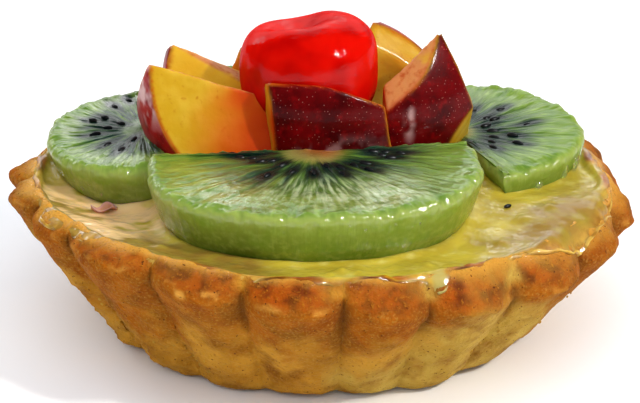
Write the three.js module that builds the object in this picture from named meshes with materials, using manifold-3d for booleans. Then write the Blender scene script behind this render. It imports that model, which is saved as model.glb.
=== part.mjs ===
// A single-portion fruit tart, in millimetres, +Z up, standing on z = 0 with its axis on the origin.
//
// A fluted shortcrust shell is filled with custard. Half-moons of kiwi lie on the custard with their
// cut edges inwards, wedges of nectarine stand inside the ring they make, skin side out, and a
// candied cherry sits in the middle of the wedges.
import * as THREE from "three";
import { mergeVertices } from "three/addons/utils/BufferGeometryUtils.js";
import Module from "manifold-3d";

const wasm = await Module();
wasm.setup();

// Driving dimensions.
const RIM_RADIUS = 50; // over the tips of the flutes
// The rim is pulled further out along the left, and at one flute at the right; angles in radians.
const RIM_PULLS = [
  { angle: 5.0, spread: 0.35, out: 1.4 },
  { angle: 1.46, spread: 0.13, out: 1.5 },
];
const BASE_RADIUS = 34.8;
const LIP_HEIGHT = 21; // outer edge of the rim
const CREST_HEIGHT = 25.2; // highest line of the rim
const FLUTE_DEPTH = 3.3; // at the lip
const FOOT_FLUTE_DEPTH = 1.8;
const WALL = 6.3; // wall thickness, measured level, at the tip of a flute
const WALL_SHIFT = 0.5; // the filling sits this much to the left in the shell
const WALL_TOP = 20; // height at which the inside of the wall starts to round over to the crest
// To the right of the front the wall is thicker below its top, and slopes in under the crest.
const RIM_SLOPE = { angle: 1.19, spread: 0.49, thicker: 3.4 };
const FLOOR = 4; // thickness of the pastry floor
const FLOOR_ROUND = 1.5; // of the corner between the floor and the inside of the wall
const FOOT_ROUND = 1.1; // of the corner between the underside and the outside of the wall
const CUSTARD_HEIGHT = 24.4; // top of the custard under the middle of the fruit and near the rim
const FIT = 0.3; // gap between neighbouring pieces

// Where the creases between the flutes run, in degrees from the front. The shell was pressed by hand,
// so no two flutes are quite as wide as each other.
const CREASES = [
  4, 20, 39, 59, 77, 90, 103, 118, 136, 154, 172, 190, 208, 226, 244, 262, 276, 290, 305, 327, 345,
].map(THREE.MathUtils.degToRad);
const FLUTE_ROUNDNESS = 0.8; // 1 is a plain sine arch, less is a fuller lobe with a sharper valley
const RIM_TILT = 2.6; // the hand-pressed rim stands this much higher at the left, and lower at the right
const RIM_WAVE = 0.8; // and besides rises and dips this much, twice round
const RIM_DIP = { angle: 4.3, spread: 0.3, drop: 3 }; // and sags behind at the left
const CRUST_STEPS_PER_FLUTE = 6;
const CUSTARD_STEPS = 48;

const { sin, cos, abs, PI, min, max } = Math;
const TURN = 2 * PI;

// Deterministic draws for the unevenness that food has.
function randomFrom(seed) {
  let state = seed;
  return () => {
    state = (state * 1664525 + 1013904223) % 4294967296;
    return state / 4294967296;
  };
}

// ---------------------------------------------------------------- solids

function solidOf(geometry) {
  const bare = new THREE.BufferGeometry();
  bare.setAttribute("position", geometry.getAttribute("position").clone());
  if (geometry.index) bare.setIndex(geometry.index.clone());
  const merged = mergeVertices(bare, 1e-4);
  return new wasm.Manifold(
    new wasm.Mesh({
      numProp: 3,
      vertProperties: new Float32Array(merged.attributes.position.array),
      triVerts: new Uint32Array(merged.index.array),
    }),
  );
}

function geometryOf(solid) {
  const mesh = solid.getMesh();
  const positions = new Float32Array(mesh.numVert * 3);
  for (let i = 0; i < mesh.numVert; i++) {
    const start = i * mesh.numProp;
    positions.set(mesh.vertProperties.subarray(start, start + 3), i * 3);
  }
  const geometry = new THREE.BufferGeometry();
  geometry.setAttribute("position", new THREE.BufferAttribute(positions, 3));
  geometry.setIndex(new THREE.BufferAttribute(new Uint32Array(mesh.triVerts), 1));
  geometry.computeVertexNormals();
  return geometry;
}

// The largest body of a solid, without the loose scraps that a cut can leave.
function largestBody(solid) {
  const bodies = solid.decompose();
  return bodies.reduce((best, body) => (body.volume() > best.volume() ? body : best));
}

// A closed skin over a stack of rings of points, all with the same count, capped at both ends.
function stackGeometry(rings) {
  const steps = rings[0].length;
  const centre = (ring) => ring.reduce((sum, p) => sum.add(p), new THREE.Vector3()).divideScalar(steps);
  const points = [...rings.flat(), centre(rings[0]), centre(rings.at(-1))];
  const firstCap = rings.length * steps;
  const lastCap = firstCap + 1;
  const lastRing = (rings.length - 1) * steps;
  const faces = [];
  for (let j = 0; j < steps; j++) {
    const next = (j + 1) % steps;
    faces.push(firstCap, next, j);
    faces.push(lastCap, lastRing + j, lastRing + next);
    for (let i = 0; i + 1 < rings.length; i++) {
      const [a, b, c, d] = [i * steps + j, i * steps + next, (i + 1) * steps + next, (i + 1) * steps + j];
      faces.push(a, b, c, a, c, d);
    }
  }
  return new THREE.BufferGeometry().setFromPoints(points).setIndex(faces);
}

const ringOf = (steps, place) => Array.from({ length: steps }, (_, k) => place((k / steps) * TURN));

// ---------------------------------------------------------------- pastry shell and custard

// Angles are measured from the front, -Y, towards +X.
const polar = (angle, radius, height) =>
  new THREE.Vector3(radius * sin(angle), -radius * cos(angle), height);

const nextCrease = (k) => (k + 1 < CREASES.length ? CREASES[k + 1] : CREASES[0] + TURN);

// Angles round the shell, with a step on every crease.
const crustAngles = CREASES.flatMap((crease, k) =>
  Array.from({ length: CRUST_STEPS_PER_FLUTE }, (_, step) =>
    THREE.MathUtils.lerp(crease, nextCrease(k), step / CRUST_STEPS_PER_FLUTE),
  ),
);

// 0 in the crease between two flutes, 1 at the tip of one.
function flute(angle) {
  const turned = angle < CREASES[0] ? angle + TURN : angle;
  const k = CREASES.findLastIndex((crease) => crease <= turned);
  const part = (turned - CREASES[k]) / (nextCrease(k) - CREASES[k]);
  return abs(sin(PI * part)) ** FLUTE_ROUNDNESS;
}

const bump = (angle, { angle: middle, spread }) => Math.exp(-(((angle - middle) / spread) ** 2));
const rimOffset = (angle) =>
  -RIM_TILT * sin(angle) - RIM_WAVE * sin(2 * angle) - RIM_DIP.drop * bump(angle, RIM_DIP);
const lipHeight = (angle) => LIP_HEIGHT + rimOffset(angle);
const crestHeight = (angle) => CREST_HEIGHT + 0.3 * rimOffset(angle);
const rimRadius = (angle) =>
  RIM_PULLS.reduce((radius, pull) => radius + pull.out * bump(angle, pull), RIM_RADIUS);

// The wall is thinner at the left than at the right.
const wall = (angle) => WALL + WALL_SHIFT * sin(angle);

// Small dents and swellings of baked pastry.
const dent = (angle, height) =>
  0.16 * sin(7 * angle + 0.9 * height) + 0.12 * sin(13 * angle - 0.55 * height + 1.3);

// Radius of the outside at a share of the wall's height, 0 at the foot and 1 at the lip.
function outsideRadius(angle, share) {
  const tip = BASE_RADIUS + (rimRadius(angle) - BASE_RADIUS) * share;
  const depth = THREE.MathUtils.lerp(FOOT_FLUTE_DEPTH, FLUTE_DEPTH, share);
  return tip - depth * (1 - flute(angle)) + dent(angle, share * LIP_HEIGHT) * share;
}

// The inner edge of the rim, just below its crest.
const innerEdge = (angle) => min(outsideRadius(angle, 1) - 2, rimRadius(angle) - wall(angle) + 0.3);
const EDGE_DROP = 0.5;

// Radius of the inside at a height: straight up to the top of the wall, then along the rim's slope.
function insideRadius(angle, height) {
  const low = min(height, WALL_TOP);
  const tip = BASE_RADIUS + ((rimRadius(angle) - BASE_RADIUS) * low) / LIP_HEIGHT;
  const slope = (RIM_SLOPE.thicker * bump(angle, RIM_SLOPE) * low) / WALL_TOP;
  const straight = tip - wall(angle) - slope;
  const up = max(height - WALL_TOP, 0) / (crestHeight(angle) - EDGE_DROP - WALL_TOP);
  return THREE.MathUtils.lerp(straight, innerEdge(angle), min(up, 1));
}

function crustGeometry() {
  const ring = (radius, height) => crustAngles.map((a) => polar(a, radius(a), height(a)));
  const flat = (height) => () => height;
  const lipRadius = (a) => outsideRadius(a, 1);
  const wallShares = [0.07, 0.4, 0.75, 0.97];
  return stackGeometry([
    ring(() => 0.8 * BASE_RADIUS, flat(0)),
    ring((a) => outsideRadius(a, 0) - FOOT_ROUND, flat(0)),
    ...wallShares.map((share) => ring((a) => outsideRadius(a, share), (a) => share * lipHeight(a))),
    // The rim: a browned bevel from the lip up to the crest, and a round inner edge.
    ring((a) => lipRadius(a) - 0.5, (a) => lipHeight(a) + 0.5),
    ring((a) => lipRadius(a) - 1.2 - 1.1 * flute(a), (a) => 0.45 * lipHeight(a) + 0.55 * crestHeight(a)),
    ring((a) => min(lipRadius(a) - 1.5, innerEdge(a) + 1), crestHeight),
    ring(innerEdge, (a) => crestHeight(a) - EDGE_DROP),
    ring((a) => insideRadius(a, WALL_TOP), flat(WALL_TOP)),
    ring((a) => insideRadius(a, FLOOR + FLOOR_ROUND), flat(FLOOR + FLOOR_ROUND)),
    ring(() => BASE_RADIUS - WALL - FLOOR_ROUND, flat(FLOOR)),
  ]);
}

// The kiwi slices press the custard down in a ring, at a share of its radius. Besides, it is heaped
// between the front and the right-hand kiwi and sinks in front of the left one.
const PRESSED = { share: 0.76, spread: 0.16, depth: 1.6 };
const CUSTARD_SWELLS = [
  { x: 33, y: -16, rise: 1.9, reach: 11 },
  { x: -36, y: -9, rise: -1.5, reach: 11 },
];

// The custard fills the shell to its inner wall, and its edge follows the rim's ups and downs.
function custardTop(radiusShare, angle) {
  const pressed = PRESSED.depth * Math.exp(-(((radiusShare - PRESSED.share) / PRESSED.spread) ** 2));
  const radius = radiusShare * (RIM_RADIUS - WALL);
  const swells = CUSTARD_SWELLS.map(({ x, y, rise, reach }) => {
    const away = Math.hypot(radius * sin(angle) - x, -radius * cos(angle) - y);
    return rise * Math.exp(-((away / reach) ** 2));
  });
  const edge = radiusShare ** 4 * (0.3 * rimOffset(angle) + 0.2 * sin(5 * angle + 1));
  return CUSTARD_HEIGHT - pressed + swells[0] + swells[1] + edge;
}

function custardGeometry() {
  const ring = (radius, height) => ringOf(CUSTARD_STEPS, (a) => polar(a, radius(a), height(a)));
  const edgeHeight = (a) => custardTop(1, a) - 0.6;
  const edgeRadius = (a) => insideRadius(a, edgeHeight(a)) - 1.5 * FIT;
  const topShares = [0.98, 0.85, 0.7, 0.5, 0.25];
  return stackGeometry([
    ring(() => BASE_RADIUS - WALL - FLOOR_ROUND - 1, () => FLOOR + FIT),
    ring((a) => insideRadius(a, FLOOR + FLOOR_ROUND) - 2 * FIT, () => FLOOR + FLOOR_ROUND + FIT),
    ring((a) => insideRadius(a, WALL_TOP) - 2 * FIT, () => WALL_TOP),
    ring(edgeRadius, edgeHeight),
    ...topShares.map((share) => ring((a) => share * edgeRadius(a), (a) => custardTop(share, a))),
  ]);
}

// ---------------------------------------------------------------- kiwi

// Each slice is more or less a half-moon, cut from an oval fruit. `middle` is the middle of the oval
// of its top face and `top` its height, `round` and `across` its half sizes along and across the way
// its round side looks, `facing`, in degrees from +X towards +Y. `beyond` is how far the flat cut lies
// past the middle, `lean` tips the top towards the round side, in degrees, and `core` is how far from
// the middle the pale core lies.
const KIWIS = {
  kiwi_front: {
    middle: [-1.1, -15], top: 31.5, round: 22, across: 26.4, thickness: 9, facing: -84, beyond: 7.2,
    lean: 0, core: -4, seeds: 34,
  },
  kiwi_right: {
    middle: [21.4, 9], top: 27.4, round: 21.4, across: 21, thickness: 7.2, facing: 21, beyond: 0.5,
    lean: -3, core: 0, seeds: 26,
  },
  kiwi_back: {
    middle: [-6.5, 24.2], top: 28.6, round: 18, across: 19.5, thickness: 8, facing: 97, beyond: 0,
    lean: 2, core: 0, seeds: 22,
  },
  kiwi_left: {
    middle: [-29.2, 4.3], top: 29.8, round: 15.8, across: 17.4, thickness: 8, facing: 191, beyond: 2.5,
    lean: 4, core: 0, seeds: 22,
  },
};
const KIWI_SQUARENESS = 2.25; // 2 is a true oval, more has fuller shoulders
const ARC_STEPS = 24;
const FLAT_STEPS = 4;
const SEED = { length: 1.15, width: 0.6, proud: 0.42 }; // half sizes
const SEED_RINGS = [0.3, 0.43, 0.52]; // shares of the slice's half size

// The slice's outline, seen from above, with its round side towards +X.
function sliceOutline({ round, across, beyond }, grow, taper) {
  const half = PI / 2 + Math.asin(beyond / round);
  const power = 2 / KIWI_SQUARENESS;
  const points = [];
  for (let k = 0; k <= ARC_STEPS; k++) {
    const a = -half + (2 * half * k) / ARC_STEPS;
    const x = Math.sign(cos(a)) * abs(cos(a)) ** power * (round + grow - taper);
    const y = Math.sign(sin(a)) * abs(sin(a)) ** power * (across + grow - taper);
    points.push(new THREE.Vector2(max(x, -beyond - grow), y));
  }
  const [start, end] = [points[0], points.at(-1)];
  start.x = end.x = -beyond - grow;
  for (let k = 1; k < FLAT_STEPS; k++) points.push(end.clone().lerp(start, k / FLAT_STEPS));
  return points;
}

// From the slice's own frame, top face at z = 0, into the tart.
function kiwiPlace({ middle, top, facing, lean }) {
  return new THREE.Matrix4()
    .makeTranslation(middle[0], middle[1], top)
    .multiply(new THREE.Matrix4().makeRotationZ(THREE.MathUtils.degToRad(facing)))
    .multiply(new THREE.Matrix4().makeRotationY(THREE.MathUtils.degToRad(lean)));
}

function kiwiBody(slice, grow) {
  const level = (depth, taper) =>
    sliceOutline(slice, grow, taper).map(({ x, y }) => new THREE.Vector3(x, y, -depth));
  // The side draws in towards the underside, and the top edge is a little rounded.
  const rings = [
    level(slice.thickness + grow, 3.2),
    level(0.7 * slice.thickness, 1.6),
    level(0.35 * slice.thickness, 0.6),
    level(0.7, 0),
    level(-grow, 0.7),
  ];
  return solidOf(stackGeometry(rings).applyMatrix4(kiwiPlace(slice)));
}

// Seeds lie half sunk in rings round the pale core, pointing outwards.
function kiwiSeeds(slice, random) {
  const spread = PI / 2 + (slice.beyond > 3 ? 0.05 : -0.15);
  return Array.from({ length: slice.seeds }, (_, k) => {
    const a = -spread + (2 * spread * (k + 0.3 + 0.4 * random())) / slice.seeds;
    const ring = SEED_RINGS[k % 3] + 0.05 * (random() - 0.5);
    const seed = new THREE.SphereGeometry(1, 6, 4).scale(SEED.length, SEED.width, SEED.proud);
    seed.rotateZ(a + 0.3 * (random() - 0.5));
    seed.translate(slice.core + ring * slice.round * cos(a), ring * slice.across * sin(a), -0.07);
    return solidOf(seed.applyMatrix4(kiwiPlace(slice)));
  });
}

// ---------------------------------------------------------------- nectarine

// Each wedge is what is left of a round fruit after straight knife cuts and after the stone came
// out. `heart` is the middle of the fruit that its skin belongs to, each cut is a point on the cut
// and the way it faces, `stone` is the round hollow that the stone left, and `tip` is the pointed end
// of the fruit.
const NECTARINES = {
  nectarine_left: {
    heart: [-5.7, 7.4, 38.3],
    radius: 23.9,
    tip: { toward: [-1, -0.24, -0.38], rise: 1.3, spread: 0.72 },
    cuts: [
      { at: [-23.8, -8.3, 30.9], facing: [0.136, -0.901, 0.411] },
      { at: [-27.7, -3, 43.8], facing: [0.27, 0.48, 0.85] },
      { at: [-27.7, -3, 43.8], facing: [-0.8, 0.42, 0.43] },
      { at: [-20, 6, 31.5], facing: [0.15, 0.98, 0.1] },
      { at: [-5.2, -4, 34.5], facing: [0.95, -0.25, 0.1] },
    ],
    stone: { at: [-12.5, 0.5, 49], radius: 9.4 },
  },
  nectarine_front: {
    heart: [0.5, 10.5, 34.5],
    radius: 20.4,
    cuts: [
      { at: [-7.2, -9.2, 31.5], facing: [-0.965, -0.25, -0.065] },
      { at: [0.65, -8.7, 41.9], facing: [0.06, 0.42, 0.9] },
      { at: [0.65, -8.7, 41.9], facing: [0.3, 0.45, 0.84] },
      { at: [9.8, -7, 37.5], facing: [0.98, 0.05, 0.17] },
      { at: [0, -0.5, 31.5], facing: [0, 0.95, 0.3] },
    ],
  },
  nectarine_right: {
    heart: [9, 14, 33.5],
    radius: 20.5,
    cuts: [
      { at: [18.9, 2, 47.3], facing: [-0.451, -0.5, 0.739] },
      { at: [18.9, 2, 47.3], facing: [-0.6, 0.75, 0.33] },
      { at: [18.9, 2, 47.3], facing: [0.86, 0.35, 0.34] },
      { at: [20.8, -3, 30.5], facing: [0.84, -0.35, -0.41] },
      { at: [10.2, -5, 33.5], facing: [-1, -0.1, 0] },
    ],
  },
  nectarine_back_right: {
    heart: [2, 8, 26.5],
    radius: 20.6,
    cuts: [
      { at: [8.3, 10, 46.1], facing: [0.4, -0.7, 0.59] },
      { at: [8.3, 10, 46.1], facing: [-0.9, 0.3, 0.3] },
    ],
    stone: { at: [11, 1.5, 38.5], radius: 6.3 },
  },
  nectarine_back_left: {
    heart: [-6.5, 12, 34.5],
    radius: 19.9,
    cuts: [
      { at: [-24.6, 9, 42.6], facing: [0.05, -0.87, 0.49] },
      { at: [-24.6, 9, 42.6], facing: [0.4, -0.19, 0.9] },
      { at: [-15, 10, 38.5], facing: [0.29, 0.53, 0.8] },
      { at: [-12, 12, 31.5], facing: [0.8, 0.6, 0] },
    ],
  },
  nectarine_back: {
    heart: [-3, 4, 26.5],
    radius: 19.9,
    cuts: [
      { at: [-13.6, 14, 40.1], facing: [-0.93, 0.25, 0.25] },
      { at: [-13.6, 13.5, 40.1], facing: [0.1, -0.8, 0.6] },
      { at: [2, 18, 35.5], facing: [0.9, 0.1, 0.3] },
    ],
  },
};
const WEDGE_BOTTOM = CUSTARD_HEIGHT + 0.4;
const CUTTER = 120; // side of the block that stands for the far side of a cut
const FRUIT_STEPS = [30, 20]; // round and from pole to pole
const STONE_STEPS = [18, 12];

function halfSpace(at, facing, grow) {
  const normal = new THREE.Vector3(...facing).normalize();
  const turn = new THREE.Quaternion().setFromUnitVectors(new THREE.Vector3(0, 0, 1), normal);
  const block = new THREE.BoxGeometry(CUTTER, CUTTER, CUTTER).translate(0, 0, CUTTER / 2 + grow);
  block.applyQuaternion(turn).translate(...at);
  return solidOf(block);
}

// A round fruit, drawn out by `rise` towards its tip over an angle of about `spread`.
function fruitGeometry(radius, tip) {
  const ball = new THREE.SphereGeometry(radius, ...FRUIT_STEPS).rotateX(PI / 2);
  if (!tip) return ball;
  const toward = new THREE.Vector3(...tip.toward);
  const position = ball.getAttribute("position");
  const point = new THREE.Vector3();
  for (let i = 0; i < position.count; i++) {
    point.fromBufferAttribute(position, i);
    const rise = tip.rise * Math.exp(-((point.angleTo(toward) / tip.spread) ** 2));
    point.setLength(radius + rise);
    position.setXYZ(i, point.x, point.y, point.z);
  }
  return ball;
}

function wedgeBody({ heart, radius, tip, cuts, stone }, grow) {
  const fruit = fruitGeometry(radius + grow, tip).translate(...heart);
  const base = { at: [0, 0, WEDGE_BOTTOM], facing: [0, 0, -1] };
  const wedge = [...cuts, base].reduce(
    (body, { at, facing }) => body.subtract(halfSpace(at, facing, grow)),
    solidOf(fruit),
  );
  if (!stone) return wedge;
  const hollow = new THREE.SphereGeometry(stone.radius - grow, ...STONE_STEPS).translate(...stone.at);
  return wedge.subtract(solidOf(hollow));
}

// ---------------------------------------------------------------- cherry

const CHERRY = {
  middle: [-2.1, 3.9, 40.4],
  radius: 11.1,
  halfHeight: 8.2,
  squareness: 3.1, // 2 is a true oval, more has fuller shoulders
  lobeRise: 1.5, // the right shoulder stands higher than the left
};
const CHERRY_STEPS = [26, 17];
// The hollow of the stalk, `at` from the middle of the cherry, which runs out into a cleft at the back.
const DIMPLE = { at: [-2.4, 0.6], depth: 2.4, width: 4.2, front: 2.6, back: 8.4 };

// A flattened ball, full at the shoulders, with the long hollow where the stalk was.
function cherryBody(grow) {
  const { middle, radius, halfHeight, squareness, lobeRise } = CHERRY;
  const ball = new THREE.SphereGeometry(1, ...CHERRY_STEPS).rotateX(PI / 2);
  const position = ball.getAttribute("position");
  for (let i = 0; i < position.count; i++) {
    const [x, y, z] = [position.getX(i), position.getY(i), position.getZ(i)];
    const full = (Math.hypot(x, y) ** squareness + abs(z) ** squareness) ** (-1 / squareness);
    const [px, py] = [x * full * (radius + grow), y * full * (radius + grow)];
    const length = py < DIMPLE.at[1] ? DIMPLE.front : DIMPLE.back;
    const away = ((px - DIMPLE.at[0]) / DIMPLE.width) ** 2 + ((py - DIMPLE.at[1]) / length) ** 2;
    const sink = z > 0 && grow === 0 ? DIMPLE.depth * Math.exp(-away) : 0;
    const rise = z > 0 ? lobeRise * x * z : 0;
    position.setXYZ(i, px, py, z * full * (halfHeight + grow) + rise - sink);
  }
  return solidOf(ball.translate(...middle));
}

// ---------------------------------------------------------------- putting the tart together

const tart = new THREE.Group();
tart.name = "fruit_tart";

const PASTRY = { color: "#c68a3e", roughness: 0.6, metalness: 0 };
const CUSTARD = { color: "#e3cf6a", roughness: 0.25, metalness: 0 };
const KIWI = { color: "#9dbb4e", roughness: 0.3, metalness: 0 };
const NECTARINE = { color: "#e2a32c", roughness: 0.35, metalness: 0 };
const CANDIED_FRUIT = { color: "#d0140c", roughness: 0.12, metalness: 0 };

// A mesh stands at its own anchor, the middle of its box.
function addPiece(name, solid, finish) {
  const geometry = geometryOf(solid);
  geometry.computeBoundingBox();
  const anchor = geometry.boundingBox.getCenter(new THREE.Vector3());
  geometry.translate(-anchor.x, -anchor.y, -anchor.z);
  const mesh = new THREE.Mesh(geometry, new THREE.MeshStandardMaterial(finish));
  mesh.name = name;
  mesh.position.copy(anchor);
  tart.add(mesh);
}

addPiece("crust", solidOf(crustGeometry()), PASTRY);

const random = randomFrom(7);
const grownKiwis = Object.values(KIWIS).map((slice) => kiwiBody(slice, FIT));
const custard = grownKiwis.reduce((body, kiwi) => body.subtract(kiwi), solidOf(custardGeometry()));
addPiece("custard", largestBody(custard), CUSTARD);

const placedKiwis = [];
for (const [name, slice] of Object.entries(KIWIS)) {
  const clear = placedKiwis.reduce((body, other) => body.subtract(other), kiwiBody(slice, 0));
  const seeded = kiwiSeeds(slice, random).reduce((body, seed) => body.add(seed), clear);
  addPiece(name, largestBody(seeded), KIWI);
  placedKiwis.push(kiwiBody(slice, FIT));
}

const inTheWay = [...placedKiwis, cherryBody(FIT)];
for (const [name, wedge] of Object.entries(NECTARINES)) {
  const clear = inTheWay.reduce((body, other) => body.subtract(other), wedgeBody(wedge, 0));
  addPiece(name, largestBody(clear), NECTARINE);
  inTheWay.push(wedgeBody(wedge, FIT));
}

addPiece("cherry", cherryBody(0), CANDIED_FRUIT);

export default tart;
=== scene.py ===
"""A single-portion fruit tart, dressed round its solids.

Sizes are named in millimetres, as a baker would measure them, and turned to metres where a mesh is made.
Angles round the tart run from the front, -Y, towards +X.
"""

import math

import bmesh
import bpy
import numpy as np
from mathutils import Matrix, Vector


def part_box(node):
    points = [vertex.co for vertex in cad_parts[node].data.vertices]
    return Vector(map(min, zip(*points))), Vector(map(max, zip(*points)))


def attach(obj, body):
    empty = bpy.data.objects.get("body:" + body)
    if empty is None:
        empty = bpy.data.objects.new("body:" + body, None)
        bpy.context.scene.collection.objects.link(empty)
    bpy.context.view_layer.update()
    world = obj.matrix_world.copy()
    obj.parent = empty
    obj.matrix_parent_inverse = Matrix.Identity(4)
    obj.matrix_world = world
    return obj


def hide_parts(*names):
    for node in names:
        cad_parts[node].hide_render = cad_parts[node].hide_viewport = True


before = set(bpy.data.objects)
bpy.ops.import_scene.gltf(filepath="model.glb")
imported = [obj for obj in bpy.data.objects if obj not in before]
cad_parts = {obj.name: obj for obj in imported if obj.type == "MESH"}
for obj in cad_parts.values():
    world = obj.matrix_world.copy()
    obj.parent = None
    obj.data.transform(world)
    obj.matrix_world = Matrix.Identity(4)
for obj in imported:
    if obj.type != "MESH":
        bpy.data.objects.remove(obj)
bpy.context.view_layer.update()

MM = 0.001
TURN = 2 * math.pi

# ---------------------------------------------------------------- sizes, as the solids have them

RIM_RADIUS = 50
RIM_PULLS = [(5.0, 0.35, 1.4), (1.46, 0.13, 1.5)]  # angle, spread, how far out
BASE_RADIUS = 34.8
LIP_HEIGHT = 21
CREST_HEIGHT = 25.2
FLUTE_DEPTH = 3.3
FOOT_FLUTE_DEPTH = 1.8
WALL = 6.3
WALL_SHIFT = 0.5
WALL_TOP = 20
RIM_SLOPE = (1.19, 0.49, 3.4)  # angle, spread, how much thicker
FLOOR = 4
FLOOR_ROUND = 1.5
FOOT_ROUND = 1.1
CUSTARD_HEIGHT = 24.4
PRESSED = (0.76, 0.16, 1.6)  # share of the radius, spread, depth
CUSTARD_SWELLS = [((33, -16), 1.9, 11), ((-36, -9), -1.5, 11)]  # place, rise, reach
# Where the creases between the flutes run, in degrees from the front.
CREASES = np.radians([
    4, 20, 39, 59, 77, 90, 103, 118, 136, 154, 172, 190, 208, 226, 244, 262, 276, 290, 305, 327, 345,
])
FLUTE_ROUNDNESS = 0.8
RIM_TILT = 2.6
RIM_WAVE = 0.8
RIM_DIP = (4.3, 0.3, 3)  # angle, spread, drop
EDGE_DROP = 0.5
WEDGE_BOTTOM = CUSTARD_HEIGHT + 0.4
KIWI_SQUARENESS = 2.25
# How far a kiwi slice's side is drawn in at some depths, which are shares of its thickness.
TAPER_DEPTHS, TAPERS = (0, 0.35, 0.7, 1), (0, 0.6, 1.6, 3.2)
KIWI_EDGE_ROUND = 1.7

# Each slice: middle of its top face, half sizes along and across the way its round side looks, the
# way it looks in degrees from +X towards +Y, how far its flat cut lies past the middle, its lean in
# degrees, how far from the middle the pale core lies, how wet it is, how dark its pulp is if darker
# than the others', and its seeds: how many, or where they lie.
KIWIS = {
    "kiwi_front": {
        "middle": (-1.1, -15, 31.5), "round": 22, "across": 26.4, "thickness": 9, "facing": -84,
        "beyond": 7.2, "lean": 0, "core": -4, "gloss": 1.0, "seeds": [
            (-14.4, -10.9), (-13.0, -12.1), (-11.9, -10.8), (-11.0, -12.7), (-9.2, -11.4), (-9.6, -14.1),
            (-8.5, -19.6), (-6.2, -15.6), (-4.6, -18.1), (-7.9, -13.9), (0.7, -15.9), (-1.3, -18.4),
            (3.2, -18.9), (5.0, -15.6), (6.8, -14.7), (8.2, -9.9), (9.5, -11.3), (10.9, -12.5),
            (10.1, -9.9), (12.4, -10.6), (2.9, -16.4), (7.3, -17.2),
        ],
    },
    "kiwi_right": {
        "middle": (21.4, 9, 27.4), "round": 21.4, "across": 21, "thickness": 7.2, "facing": 21,
        "beyond": 0.5, "lean": -3, "core": 0, "gloss": 0.2, "seeds": 17,
    },
    "kiwi_back": {
        "middle": (-6.5, 24.2, 28.6), "round": 18, "across": 19.5, "thickness": 8, "facing": 97,
        "beyond": 0, "lean": 2, "core": 0, "gloss": 0.7, "seeds": 17,
    },
    "kiwi_left": {
        "middle": (-29.2, 4.3, 29.8), "round": 15.8, "across": 17.4, "thickness": 8, "facing": 191,
        "beyond": 2.5, "lean": 4, "core": 0, "gloss": 0.95, "gloom": 1.8, "seeds": [
            (-37.8, 9.7), (-35.9, 10.6), (-33.0, 7.6), (-34.6, 15.2), (-32.4, 17.6), (-30.4, 0.2),
            (-34.6, -1.4), (-36.9, 3.4), (-32.2, -3.9), (-35.1, 6.1),
        ],
    },
}

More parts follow.
